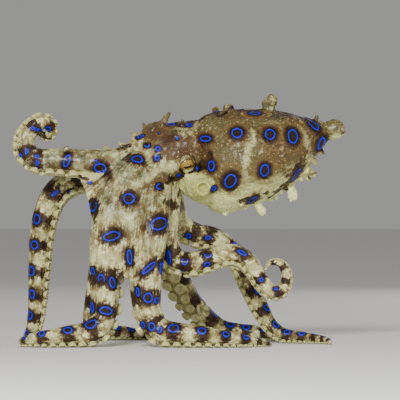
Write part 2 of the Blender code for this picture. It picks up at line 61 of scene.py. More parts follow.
body = {
    # place, back, belly, half width
    "mantle": [(0.2, 57.0, 37.0, 8.4), (3.0, 58.0, 33.6, 11.0), (7.0, 58.8, 32.9, 12.4),
               (12.0, 59.0, 34.6, 12.8), (17.0, 58.9, 36.3, 12.0), (21.5, 58.1, 39.0, 10.4),
               (25.5, 57.1, 42.3, 8.1), (29.0, 56.3, 46.8, 5.2), (32.2, 55.3, 51.6, 2.0)],
    # X, Z, tilt, half height, half width
    "head": [(1.5, 48.3, 0, 8.2, 6.8), (-4.0, 47.9, 10, 8.0, 7.3), (-8.2, 47.2, 28, 8.3, 7.6),
             (-12.8, 43.6, 51, 8.8, 8.0), (-15.0, 40.8, 55, 8.0, 7.4)],
    "voxel": 0.36,
    # where the head, the crown and the mantle run into each other: middle, radius
    "blends": [((-10, 0, 42), 13), ((0.4, -7.5, 49.5), 5.0), ((0.4, 7.5, 49.5), 5.0)],
    "blendRounds": 30,
    "smoothing": 7,
    "fineRadius": 2.7,
    "fineCuts": 2,
}
# how the skin's faces are thinned: the share that is kept, where it is the far side, low or far out,
# and how much the near, the low and the far faces give
thinning = {"kept": 0.70, "farFrom": 1, "tailFrom": 34, "lowUnder": 14, "outFrom": -46,
            "near": 0.02, "low": 0.35, "far": 1.0}


def curveThrough(points, steps):
    # rows on a smooth curve through the given rows
    rows = [Vector(point) for point in points]
    rows = [2 * rows[0] - rows[1]] + rows + [2 * rows[-1] - rows[-2]]
    curve = []
    for before, start, end, after in zip(rows, rows[1:], rows[2:], rows[3:]):
        for step in range(steps):
            t = step / steps
            bend = 2 * before - 5 * start + 4 * end - after
            twist = 3 * start - before - 3 * end + after
            curve.append(0.5 * (2 * start + (end - before) * t + bend * t ** 2 + twist * t ** 3))
    return curve + [rows[-2]]


def ellipse(middle, up, across, height, width, sides):
    turns = [2 * math.pi * k / sides for k in range(sides)]
    return [middle + up * (height * math.cos(a)) + across * (width * math.sin(a)) for a in turns]


def addLoft(bm, rings, ends=(None, None)):
    # a closed body through rings of points
    loops = [[bm.verts.new(point) for point in ring] for ring in rings]
    faces = []
    for low, high in zip(loops, loops[1:]):
        for k in range(len(low)):
            after = (k + 1) % len(low)
            faces.append(bm.faces.new((low[k], low[after], high[after], high[k])))
    for loop, middle in zip((loops[0], loops[-1]), ends):
        centre = bm.verts.new(middle if middle else sum((v.co for v in loop), Vector()) / len(loop))
        for k in range(len(loop)):
            faces.append(bm.faces.new((loop[k], loop[(k + 1) % len(loop)], centre)))
    bmesh.ops.recalc_face_normals(bm, faces=faces)


def newObject(name, mesh):
    piece = bpy.data.objects.new(name, mesh)
    bpy.context.scene.collection.objects.link(piece)
    return piece


def meshFromBmesh(name, bm):
    mesh = bpy.data.meshes.new(name)
    bm.to_mesh(mesh)
    bm.free()
    return mesh


def shadeSmooth(mesh):
    for polygon in mesh.polygons:
        polygon.use_smooth = True


def evaluated(holder, *spent):
    # the mesh that an object's modifiers make; the object and those spent on it are removed
    mesh = bpy.data.meshes.new_from_object(holder.evaluated_get(bpy.context.evaluated_depsgraph_get()))
    for piece in (holder, *spent):
        bpy.data.objects.remove(piece)
    return mesh


def turnedShape(name, profile, sides, peak=None):
    # a small shape turned about Z, from the radius and height of each of its rings
    bm = bmesh.new()
    up, across = Vector((1, 0, 0)), Vector((0, 1, 0))
    rings = [ellipse(Vector((0, 0, height)), up, across, radius, radius, sides) for radius, height in profile]
    addLoft(bm, rings, (None, Vector((0, 0, peak)) if peak else None))
    mesh = meshFromBmesh(name, bm)
    shadeSmooth(mesh)
    return newObject(name, mesh)


# The arms

crown = {
    "start": Vector((-12.8, 0, 43.6)), "tilt": math.radians(51), "ringRadius": 5.3,
    "middle": Vector((-15, 0, 34)), "rings": 30, "points": 12, "sag": 0.06, "outside": 0.8,
    # the hollow under the web: share of the web's reach, how far it is drawn in
    "inside": [(1.0, 0.1), (0.93, 0.2), (0.84, 0.32), (0.76, 0.5), (0.7, 0.75)],
}
crownAxis = np.array((-math.cos(crown["tilt"]), 0, -math.sin(crown["tilt"])))
# side, turn round the crown from the back, root radius, reach of the web, how far the web's edge draws
# back beside the arm, whether it curls and which way, and the route of its middle
Arm = namedtuple("Arm", "hand turn rootRadius web scallop curl route")
arms = {
    "left1": (-1, 22.5, 3.5, 18, 0.15, 1,
              [(-21.5, -3.8, 45.6), (-26.5, -5.0, 45.3), (-31.5, -5.3, 45.7), (-36.0, -5.2, 46.0),
               (-40.0, -5.2, 46.0), (-43.0, -5.4, 47.8), (-43.6, -5.4, 51.0), (-42.0, -5.2, 54.0),
               (-39.4, -4.6, 55.9), (-37.0, -3.6, 54.6), (-37.6, -2.4, 52.2), (-39.6, -1.2, 52.6),
               (-40.2, -0.2, 54.8)]),
    "left2": (-1, 67.5, 4.4, 33, 0.05, 0,
              [(-18.5, -9.0, 40.5), (-21.6, -11.6, 33.5), (-23.0, -12.7, 26.5), (-23.5, -13.2, 18.0),
               (-23.4, -13.6, 10.5), (-25.2, -14.6, 4.2), (-30.0, -16.6, 0), (-36.0, -18.0, 0),
               (-41.0, -16.8, 0), (-43.6, -13.0, 0), (-42.0, -9.0, 0)]),
    "left3": (-1, 112.5, 4.2, 33, 0.22, 0,
              [(-11.4, -10.0, 37.6), (-11.7, -13.2, 31.0), (-12.6, -14.8, 23.8), (-13.3, -15.2, 16.0),
               (-13.0, -15.6, 9.6), (-10.6, -16.4, 3.8), (-5.0, -18.0, 0), (1.5, -18.8, 0), (8.0, -18.0, 0),
               (13.6, -15.4, 0), (17.6, -11.4, 0)]),
    "left4": (-1, 157.5, 3.2, 15, 0.15, -1,
              [(-8.0, -4.2, 36.4), (-8.4, -5.6, 31.0), (-8.6, -6.0, 26.2), (-7.2, -6.2, 22.3),
               (-4.2, -6.5, 20.5), (-0.4, -6.8, 20.7), (3.6, -6.6, 22.0), (7.4, -6.5, 22.8),
               (10.8, -6.5, 21.8), (13.4, -6.5, 19.0), (15.5, -6.5, 15.6), (17.9, -6.6, 13.2),
               (20.6, -6.7, 14.0), (21.6, -6.8, 17.2), (20.4, -6.8, 20.2), (17.8, -6.4, 20.8),
               (16.4, -5.8, 19.0)]),
    "right4": (1, 157.5, 3.0, 13, 0.15, -1,
               [(-7.0, 4.8, 37.2), (-6.4, 7.6, 32.8), (-4.8, 9.8, 29.6), (-1.4, 11.4, 27.6),
                (3.0, 12.6, 26.6), (7.0, 13.2, 24.2), (10.2, 13.6, 20.4), (12.4, 13.6, 15.2),
                (15.2, 12.8, 9.0), (18.6, 11.8, 3.6), (23.4, 10.6, 0), (28.4, 8.6, 0), (31.8, 5.4, 0),
                (32.6, 1.4, 0)]),
    "right3": (1, 112.5, 3.9, 21, 0.15, 0,
               [(-11.0, 10.6, 38.4), (-11.4, 15.6, 31.8), (-9.6, 19.8, 24.4), (-6.2, 23.2, 16.4),
                (-2.0, 25.8, 9.2), (4.0, 27.2, 3.4), (9.6, 28.2, 0), (15.6, 27.4, 0), (21.0, 24.4, 0),
                (24.6, 20.0, 0)]),
    "right2": (1, 67.5, 3.9, 21, 0.15, 0,
               [(-17.0, 9.4, 40.4), (-20.4, 13.4, 33.2), (-23.2, 17.0, 25.0), (-25.4, 20.4, 16.4),
                (-26.8, 23.6, 8.8), (-27.2, 27.2, 3.2), (-25.0, 31.2, 0), (-20.4, 34.0, 0),
                (-14.6, 34.8, 0), (-9.0, 33.0, 0)]),
    "right1": (1, 22.5, 3.3, 14, 0.15, 1,
               [(-21.5, 4.6, 44.0), (-26.5, 6.2, 42.2), (-31.5, 7.0, 41.2), (-35.8, 7.2, 38.6),
                (-38.6, 7.4, 33.6), (-40.0, 7.8, 27.0), (-40.6, 8.4, 20.0), (-41.0, 9.4, 12.6),
                (-41.6, 11.0, 6.0), (-43.0, 14.4, 1.4), (-43.4, 19.0, 0), (-41.4, 23.4, 0),
                (-37.4, 26.0, 0)]),
}
arms = {name: Arm(*row) for name, row in arms.items()}
armShape = {"tipRadius": 0.42, "taper": 2.2, "fullness": 0.9, "faceHeight": 0.8, "floorHeight": 1.2,
            "sides": 28, "step": 0.5, "steps": 24, "tip": 0.5, "turnFrom": 3, "turnOver": 8}


class Place:
    # a place along an arm: its directions, its radius and its distance from the root
    def __init__(self, at, along, face, radius, run):
        self.at, self.along, self.face, self.radius, self.run = at, along, face, radius, run
        self.side = along.cross(face)


def armRadius(rootRadius, share):
    taper = (1 - share ** armShape["taper"]) ** armShape["fullness"]
    return armShape["tipRadius"] + (rootRadius - armShape["tipRadius"]) * taper


def armFrames(arm):
    # even steps along an arm, each turned so that the suckers face the floor or the inside of a curl
    a, tilt = math.radians(arm.turn), crown["tilt"]
    back = Vector((-math.sin(tilt), 0, math.cos(tilt)))
    aside = Vector((0, arm.hand, 0))
    root = crown["start"] + (back * math.cos(a) + aside * math.sin(a)) * crown["ringRadius"]
    curve = curveThrough([root] + arm.route, armShape["steps"])
    runs = [0.0]
    for start, end in zip(curve, curve[1:]):
        runs.append(runs[-1] + (end - start).length)
    length = runs[-1]
    count = round(length / armShape["step"])
    middles, at = [], 0
    for k in range(count + 1):
        run = length * k / count
        while at < len(runs) - 2 and runs[at + 1] < run:
            at += 1
        point = curve[at].lerp(curve[at + 1], (run - runs[at]) / (runs[at + 1] - runs[at]))
        least = armShape["floorHeight"] * armRadius(arm.rootRadius, k / count)
        point.z = (max(point.z, 0) ** 4 + least ** 4) ** 0.25
        middles.append(point)
    frames = []
    for k, point in enumerate(middles):
        along = (middles[min(k + 1, count)] - middles[max(k - 1, 0)]).normalized()
        if arm.curl:
            face = along.cross(Vector((0, 1, 0))) * arm.curl
        else:
            lift = min(max((point.z - armShape["turnFrom"]) / armShape["turnOver"], 0), 1)
            face = Vector((0, 0, -1)) + (crown["middle"] - point).normalized() * lift
        face = (face - along * face.dot(along)).normalized()
        frames.append(Place(point, along, face, armRadius(arm.rootRadius, k / count), length * k / count))
    return frames


def frameAt(frames, run):
    # the place at a distance from an arm's root
    at = min(max(run / frames[-1].run * (len(frames) - 1), 0), len(frames) - 1.001)
    k = int(at)
    start, end, t = frames[k], frames[k + 1], at - int(at)
    along = start.along.lerp(end.along, t).normalized()
    face = start.face.lerp(end.face, t)
    face = (face - along * face.dot(along)).normalized()
    return Place(start.at.lerp(end.at, t), along, face, start.radius + (end.radius - start.radius) * t, run)


armPaths = {name: armFrames(arm) for name, arm in arms.items()}


def armRing(place):
    # round on the back, flatter between the two rows of suckers
    points = []
    for k in range(armShape["sides"]):
        a = 2 * math.pi * k / armShape["sides"]
        height = math.cos(a) * (1.0 if math.cos(a) > 0 else armShape["faceHeight"])
        points.append(place.at + (place.side * math.sin(a) - place.face * height) * place.radius)
    return points


def webRing(share, drawnIn=0.0):
    # a ring round the crown's arms at a share of the web's reach, and its centre
    names = list(arms)
    ring = []
    for k, name in enumerate(names):
        after = names[(k + 1) % len(names)]
        for j in range(crown["points"]):
            t = j / crown["points"]
            reach = share * (1 - arms[name].scallop * share * math.sin(math.pi * t))
            near, far = [frameAt(armPaths[owner], reach * arms[owner].web) for owner in (name, after)]
            near, far = [place.at - place.face * (place.radius * crown["outside"]) for place in (near, far)]
            ring.append((near.lerp(far, t), crown["sag"] * share * math.sin(math.pi * t)))
    centre = sum((point for point, _ in ring), Vector()) / len(ring)
    return [point.lerp(centre, drawnIn + sag) for point, sag in ring], centre


# The skin: one closed surface over mantle, head, funnel, crown and arms

papillae = {
    # fine threads of skin: their radii, then base and tip
    "cirrusTaper": (1.05, 0.8, 0.62, 0.5),
    "cirri": [((-14.6, -0.6, 52.2), (-17.6, -0.8, 53.4)), ((-15.6, -2.6, 51.2), (-17.2, -3.4, 52.2)),
              ((-13.2, 0.4, 53.6), (-14.4, 0.2, 55.6)), ((-9.4, -2.4, 54.4), (-9.8, -3.0, 56.3)),
              ((-23.2, -3.0, 48.4), (-23.6, -3.0, 50.0)), ((-19.0, -1.0, 49.6), (-20.4, -1.2, 50.9)),
              ((-4.6, -3.4, 54.6), (-4.4, -4.2, 56.4)), ((-1.2, -4.0, 54.4), (-0.8, -5.0, 56.0)),
              ((10.6, -5.2, 57.2), (10.4, -6.0, 58.9)), ((28.2, -1.2, 54.6), (29.4, -1.6, 57.4)),
              ((26.4, 0.6, 42.4), (27.6, 0.6, 41.2)), ((10.2, -6.6, 35.8), (10.3, -7.6, 34.6)),
              ((-33.0, -9.0, 48.4), (-33.2, -9.2, 49.6))],
    # place along X, turn from the back towards the right side, length, root radius, lean
    "mantle": [(17.3, -4, 3.8, 1.4, 0.3), (7.0, -14, 1.7, 1.4, 0.2), (4.0, 16, 1.9, 0.8, 0.0),
               (13.2, -60, 1.3, 1.1, 0.1), (27.6, -135, 2.3, 0.75, 0.75), (26.4, -160, 2.9, 0.95, 1.9),
               (22.4, -172, 3.8, 1.15, 0.3), (18.8, -174, 1.1, 0.7, 0.3), (14.2, -171, 3.5, 1.0, 0.6),
               (30.2, -165, 1.2, 0.55, 0.7), (25.0, -170, 0.9, 0.5, 0.3), (6.3, -168, 1.0, 0.7, 0.0),
               (16.2, -72, 1.3, 0.45, 0.9), (20.2, -168, 0.8, 0.45, 0.2), (11.5, -173, 0.8, 0.5, -0.2),
               (13.0, 60, 2.2, 1.1, 0.3), (20.5, 95, 2.0, 1.0, 0.5), (9.0, 125, 1.9, 0.9, 0.2),
               (24.5, 40, 1.8, 0.9, 0.5), (17.0, 150, 2.2, 1.0, 0.4)],
    "mantleTaper": (1.35, 1.2, 0.95, 1.0, 1.05, 0.75),
    "sideLobe": ((17.6, -0.6, 57.6), (15.8, -1.0, 61.0), (1.1, 1.0, 1.0, 0.7)),
    "tail": ((29.4, 0, 53.0), (36.0, 0, 54.5), (2.9, 2.5, 2.4, 2.5, 2.45, 1.5)),
    "brow": [((-9.4, 2.6, 55.0), (-7.6, 3.2, 58.4), (1.0, 0.8, 0.55)),
             ((-5.6, -5.0, 52.0), (-5.4, -6.4, 53.8), (0.9, 0.8, 0.5))],
}
eyes = {
    "left": {"middle": eyeLeftMiddle, "gaze": Vector((0.27, -0.82, -0.5)).normalized(),
             "opening": Vector((0.26, -0.95, -0.22)).normalized(), "mound": 3.4},
    "right": {"middle": Vector((-11.2, 4.2, 52.0)), "gaze": Vector((-0.3, 0.86, 0.4)).normalized(),
              "opening": Vector((-0.4, 0.76, 0.5)).normalized(), "mound": 4.2},
}
# the ball, the opening's half width and height in it, and the lids, in shares of that opening
eyeShape = {"radius": 2.2, "half": (1.75, 1.3), "lid": 0.22, "lidRadius": 2.62, "moundSink": 0.5,
            "tilt": math.radians(14), "reach": 3.0, "settled": (1.9, 1.3), "least": 0.3, "lidPlace": 1.32,
            "lidWidth": 0.26, "upperLid": 1.35, "lowerLid": 0.9, "edge": (1.1, 0.9), "sunk": 0.4,
            "surface": 2, "cornea": 0.12, "corneaWidth": 1.2}
# the bore's edge is in shares of its radius, and it only opens what lies ahead of its back
funnel = {"route": [(1.6, 0.5, 40.4), (0.9, -3.5, 40.2), (0.5, -7.4, 39.8), (0.5, -10.4, 39.3),
                    (0.8, -12.9, 39.2)],
          "radii": (5.1, 5.0, 4.1, 2.7, 1.7), "bore": 1.3, "depth": 1.3, "edge": (1.15, 0.55), "back": -1.0,
          "neck": ((1.0, -2.0, 40.6), (-4.4, -1.2, 38.2), (3.4, 3.0, 2.2, 1.2))}


def eyeAxes(way):
    # the level and the up of an eye that faces the given way
    level = Vector((0, 0, 1)).cross(way).normalized()
    up = way.cross(level)
    c, s = math.cos(eyeShape["tilt"]), math.sin(eyeShape["tilt"])
    return (level * c + up * s, up * c - level * s) if way.y < 0 else (level * c - up * s, up * c + level * s)


def eyeSurface(eye):
    # the middle of the opening between the lids
    return eye["middle"] + eye["opening"] * eyeShape["surface"]


# for each loft the steps from one of its rows to the next, and the sides of its rings
loftSteps = {"mantle": 8, "head": 6, "funnel": 6, "mantlePlace": 20}
loftSides = {"mantle": 72, "head": 60, "funnel": 32, "cone": 20, "cirrus": 10}


def addCone(bm, start, end, radii, sides=loftSides["cone"]):
    start, end = Vector(start), Vector(end)
    along = (end - start).normalized()
    across = along.orthogonal().normalized()
    steps = len(radii) - 1
    rings = [ellipse(start.lerp(end, k / steps), across.cross(along), across, radius, radius, sides)
             for k, radius in enumerate(radii)]
    addLoft(bm, rings)


def mantlePlace(x, turn):
    # a point on the mantle, from its place along X and its turn from the back, and the way out there
    rows = curveThrough(body["mantle"], loftSteps["mantlePlace"])
    row = min(rows, key=lambda candidate: abs(candidate[0] - x))
    middle, height, width = (row[1] + row[2]) / 2, (row[1] - row[2]) / 2, row[3]
    a = math.radians(turn)
    point = Vector((x, width * math.sin(a), middle + height * math.cos(a)))
    return point, Vector((0, math.sin(a) / width * height, math.cos(a))).normalized()


def addBody(bm):
    rings = []
    level, sideways = Vector((0, 0, 1)), Vector((0, 1, 0))
    for x, back, belly, width in curveThrough(body["mantle"], loftSteps["mantle"]):
        middle = Vector((x, 0, (back + belly) / 2))
        rings.append(ellipse(middle, level, sideways, (back - belly) / 2, width, loftSides["mantle"]))
    addLoft(bm, rings)
    rows = [(x, z, math.radians(tilt), height, width) for x, z, tilt, height, width in body["head"]]
    rings = []
    for x, z, tilt, height, width in curveThrough(rows, loftSteps["head"]):
        up = Vector((-math.sin(tilt), 0, math.cos(tilt)))
        rings.append(ellipse(Vector((x, 0, z)), up, sideways, height, width, loftSides["head"]))
    addLoft(bm, rings)
    for x, turn, length, radius, lean in papillae["mantle"]:
        point, outward = mantlePlace(x, turn)
        outward = (outward + Vector((lean, 0, 0))).normalized()
        addCone(bm, point - outward * (radius + 0.6), point + outward * length,
                [radius * share for share in papillae["mantleTaper"]])
    addCone(bm, *papillae["sideLobe"])
    addCone(bm, *papillae["tail"])
    for row in papillae["brow"]:
        addCone(bm, *row)
    for start, end in papillae["cirri"]:
        addCone(bm, start, end, papillae["cirrusTaper"], loftSides["cirrus"])
    for eye in eyes.values():
        made = bmesh.ops.create_uvsphere(bm, u_segments=32, v_segments=20, radius=eye["mound"])
        middle = eye["middle"] - eye["opening"] * eyeShape["moundSink"]
        bmesh.ops.translate(bm, verts=made["verts"], vec=middle)


def addFunnel(bm):
    route = curveThrough(funnel["route"], loftSteps["funnel"])
    radii = curveThrough([(radius, 0, 0) for radius in funnel["radii"]], loftSteps["funnel"])
    rings = []
    for k, point in enumerate(route):
        ahead = (route[min(k + 1, len(route) - 1)] - route[max(k - 1, 0)]).normalized()
        across = ahead.cross(Vector((0, 0, -1))).normalized()
        rings.append(ellipse(point, ahead.cross(across), across, radii[k][0], radii[k][0],
                             loftSides["funnel"]))
    addLoft(bm, rings)
    addCone(bm, *funnel["neck"])


def addCrownAndArms(bm):
    outside = [webRing(k / (crown["rings"] - 1)) for k in range(crown["rings"])]
    inside = [webRing(share, drawnIn) for share, drawnIn in crown["inside"]]
    addLoft(bm, [ring for ring, _ in outside + inside], (outside[0][1], inside[-1][1]))
    for frames in armPaths.values():
        tip = frames[-1]
        end = tip.at + tip.along * tip.radius * armShape["tip"]
        addLoft(bm, [armRing(place) for place in frames], (None, end))


def remeshed(bm):
    # the forms above, melted into one surface of even small faces
    raw = newObject("raw", meshFromBmesh("raw", bm))
    remesh = raw.modifiers.new("melt", "REMESH")
    remesh.mode = "VOXEL"
    remesh.voxel_size = body["voxel"]
    return evaluated(raw)


def numbersOf(rows, field):
    # a vector of each vertex or normal, as rows of an array
    values = np.empty(len(rows) * 3, np.float32)
    rows.foreach_get(field, values)
    return values.reshape(-1, 3).astype(float)


def coordinates(mesh):
    return numbersOf(mesh.vertices, "co")


def vertexNormals(mesh):
    return numbersOf(mesh.vertex_normals, "vector")


def setCoordinates(mesh, points):
    mesh.vertices.foreach_set("co", points.astype(np.float32).ravel())
    mesh.update()


def onFloor(points, least=0.0):
    # nothing reaches below the floor
    points[:, 2] = np.maximum(points[:, 2], least)
    return points


def thinned(mesh):
    # larger faces on the far side and low on the arms, so that the skin stays under 200,000 triangles
    x, y, z = coordinates(mesh).T
    piece = newObject("raw", mesh)
    group = piece.vertex_groups.new(name="plainer")
    far = (y > thinning["farFrom"]) & (x < thinning["tailFrom"])
    low = (z < thinning["lowUnder"]) | (x < thinning["outFrom"])
    for chosen, weight in ((~far & ~low, "near"), (~far & low, "low"), (far, "far")):
        group.add(np.flatnonzero(chosen).tolist(), thinning[weight], "REPLACE")
    thin = piece.modifiers.new("thin", "DECIMATE")
    thin.ratio = thinning["kept"]
    thin.vertex_group = group.name
    return evaluated(piece)


def refined(mesh):
    # more faces round the eyes and the mouth of the funnel
    bm = bmesh.new()
    bm.from_mesh(mesh)
    places = [eyeSurface(eye) for eye in eyes.values()] + [Vector(funnel["route"][-1])]
    reach = body["fineRadius"]
    near = {vert for vert in bm.verts if any((vert.co - place).length < reach for place in places)}
    edges = [edge for edge in bm.edges if edge.verts[0] in near and edge.verts[1] in near]
    bmesh.ops.subdivide_edges(bm, edges=edges, cuts=body["fineCuts"], use_grid_fill=True)
    bmesh.ops.triangulate(bm, faces=[face for face in bm.faces if len(face.verts) > 3])
    bm.to_mesh(mesh)
    bm.free()
    return mesh


class Smoother:
    # averages values over each vertex's neighbours
    def __init__(self, mesh):
        ends = np.empty(len(mesh.edges) * 2, np.int32)
        mesh.edges.foreach_get("vertices", ends)
        self.start, self.end = ends.reshape(-1, 2).T
        self.count = len(mesh.vertices)
        self.links = sum(np.bincount(ends, minlength=self.count) for ends in (self.start, self.end))

    def average(self, values):
        total = [np.bincount(self.start, column[self.end], self.count)
                 + np.bincount(self.end, column[self.start], self.count) for column in values.T]
        return (np.array(total) / np.maximum(self.links, 1)).T

    def smooth(self, values, rounds, weight=0.5, backwards=-0.52):
        for _ in range(rounds):
            values = values + weight * (self.average(values) - values)
            values = values + backwards * (self.average(values) - values)
        return values


armNames = list(arms)


def towardsNext(k):
    # whether the side direction at an arm's root points to the next arm round the crown
    here, after = armPaths[armNames[k]][0], armPaths[armNames[(k + 1) % 8]][0]
    return 1 if here.side.dot(after.at - here.at) > 0 else -1


# how the skin between two arms is shared out
ownArea = {"leastRadius": 1.0, "across": 12}


def armFields(points):
    # for each point the arm it lies on, how far along, how far out, how much it faces the suckers'
    # side, and its place between the arms as a turn round the crown, in eighths
    points = np.asarray(points)
    away, side, facing, run, radius = [np.empty((8, len(points))) for _ in range(5)]
    for k, name in enumerate(armNames):
        frames = armPaths[name]
        tree = KDTree(len(frames))
        for i, place in enumerate(frames):
            tree.insert(place.at, i)
        tree.balance()
        found = np.array([tree.find(point)[1] for point in points])
        at, face, across, radius[k], run[k] = [np.array([getattr(place, field) for place in frames])[found]
                                               for field in ("at", "face", "side", "radius", "run")]
        offset = points - at
        away[k] = np.linalg.norm(offset, axis=1)
        side[k] = (offset * across).sum(1) * towardsNext(k)
        facing[k] = (offset * face).sum(1) / radius[k]
    owner = (away / np.maximum(radius, ownArea["leastRadius"])).argmin(0)
    every = np.arange(len(points))
    sideways = side[owner, every]
    neighbour = np.where(sideways > 0, owner + 1, owner - 1) % 8
    near, far = np.abs(sideways), np.minimum(away[neighbour, every], ownArea["across"])
    turn = owner + np.sign(sideways) * near / (near + far + 1e-6)
    return {"owner": owner, "run": run[owner, every], "radius": radius[owner, every], "turn": turn,
            "away": away[owner, every] / radius[owner, every], "facing": facing[owner, every]}


def noiseAt(points, size, seed):
    # smooth noise from -1 to 1 with features of about the given size
    offset = Vector((seed * 17.3, seed * 5.1, seed * 9.7))
    return np.array([noise.noise(Vector(point) / size + offset) for point in points])


def smoothStep(low, high, values):
    t = np.clip((values - low) / (high - low), 0, 1)
    return t * t * (3 - 2 * t)


def openEyes(points):
    # lays the skin close round each ball, draws it in between the lids and rounds the lids' edges
    wide, high = eyeShape["half"]
    for eye in eyes.values():
        way = np.array(eye["opening"])
        level, up = eyeAxes(eye["opening"])
        offset = points - np.array(eye["middle"])
        ahead, across, above = offset @ way, offset @ np.array(level), offset @ np.array(up)
        share = np.sqrt((across / wide) ** 2 + (above / high) ** 2)
        near = (ahead > 0) & (share < eyeShape["reach"])
        close = np.sqrt(np.maximum(eyeShape["lidRadius"] ** 2 - across ** 2 - above ** 2, eyeShape["least"]))
        settled = smoothStep(*eyeShape["settled"], np.hypot(across, above) / wide)
        height = ahead + (close - ahead) * settled
        lid = eyeShape["lid"] * np.exp(-((share - eyeShape["lidPlace"]) / eyeShape["lidWidth"]) ** 2)
        lid = lid * np.where(above > 0, eyeShape["upperLid"], eyeShape["lowerLid"])
        drawn = smoothStep(*eyeShape["edge"], share)
        height = (height + lid) * (1 - drawn) - eyeShape["sunk"] * drawn
        points = points + np.where(near, height - ahead, 0)[:, None] * way
    return points


def openFunnel(points):
    # draws the skin in at the funnel's mouth
    end, before = Vector(funnel["route"][-1]), Vector(funnel["route"][-2])
    way = np.array((end - before).normalized())
    offset = points - np.array(end)
    ahead = offset @ way
    aside = np.linalg.norm(offset - ahead[:, None] * way, axis=1)
    drawn = smoothStep(*funnel["edge"], aside / funnel["bore"]) * (ahead > funnel["back"])
    return points - (funnel["depth"] * drawn)[:, None] * way


def awayFromEyes(points, low, high):
    # 0 at the eyes, rising to 1 between the two distances
    clear = 1
    for eye in eyes.values():
        clear = clear * smoothStep(low, high, np.linalg.norm(points - np.array(eyeSurface(eye)), axis=1))
    return clear


# relief of the skin: size and height of each noise, and the folds that run along the arms and the web
wrinkles = {"noises": [(2.6, 0.18), (1.3, 0.13), (0.7, 0.08)], "across": 9.0, "along": 9.0, "foldSeed": 2.0,
            "height": 0.16, "sharpness": 0.7, "webCalm": 0.5, "suckerCalm": 0.75, "eyeClear": (1.6, 3.0),
            "webEdge": (-3, 4), "floor": 0.01}
# where the skin counts as an arm's, in shares of its radius, and as its suckers' side
armEdge, oralEdge = (1.9, 1.3), (0.58, 0.8)


def fanNoise(info, across, along, seed):
    # noise drawn out along the arms, closer together where they converge
    angle = info["turn"] * math.pi / 4
    places = np.stack((np.cos(angle) * across, np.sin(angle) * across, info["run"] / along + seed), 1)
    return np.array([noise.noise(Vector(place)) for place in places])


def alongCrown(points):
    # how far each point lies beyond the start of the crown
    return (points - np.array(crown["start"])) @ crownAxis


def meltedSkin():
    # all forms melted together and smoothed, most of all where the head, crown and mantle meet
    bm = bmesh.new()
    addBody(bm)
    addFunnel(bm)
    addCrownAndArms(bm)
    mesh = remeshed(bm)
    print("skin melted:", len(mesh.vertices), "vertices")
    smoother = Smoother(mesh)
    points = smoother.smooth(coordinates(mesh), body["smoothing"])
    blend = np.zeros(len(points))
    for middle, radius in body["blends"]:
        blend = np.maximum(blend, np.exp(-(np.linalg.norm(points - np.array(middle), axis=1) / radius) ** 4))
    for _ in range(body["blendRounds"]):
        points = points + 0.5 * blend[:, None] * (smoother.average(points) - points)
    setCoordinates(mesh, points)
    return mesh


def makeSkinMesh():
    mesh = refined(thinned(meltedSkin()))
    print("skin thinned:", len(mesh.vertices), "vertices")
    points = Smoother(mesh).smooth(coordinates(mesh), 1)
    points = openFunnel(openEyes(points))
    setCoordinates(mesh, points)
    info = armFields(points)
    onArm = smoothStep(*armEdge, info["away"])
    oral = onArm * smoothStep(*oralEdge, info["facing"])
    rough = (1 - wrinkles["suckerCalm"] * oral) * awayFromEyes(points, *wrinkles["eyeClear"])
    webbed = np.maximum(smoothStep(*wrinkles["webEdge"], alongCrown(points)), onArm)
    relief = sum(height * noiseAt(points, size, seed)
                 for seed, (size, height) in enumerate(wrinkles["noises"]))
    folds = np.abs(fanNoise(info, wrinkles["across"], wrinkles["along"], wrinkles["foldSeed"]))
    folds = wrinkles["height"] * webbed * (1 - 2 * folds ** wrinkles["sharpness"])
    relief = relief * (1 - wrinkles["webCalm"] * webbed) + folds
    points = points + vertexNormals(mesh) * (relief * rough)[:, None]
    setCoordinates(mesh, onFloor(points, wrinkles["floor"]))
    return mesh, info, webbed, onArm, oral


skinMesh, armInfo, webbed, onArm, oralSide = makeSkinMesh()
skinPoints = coordinates(skinMesh)
skinNormals = vertexNormals(skinMesh)
print("skin shaped")


# The blue rings, each on a dark patch

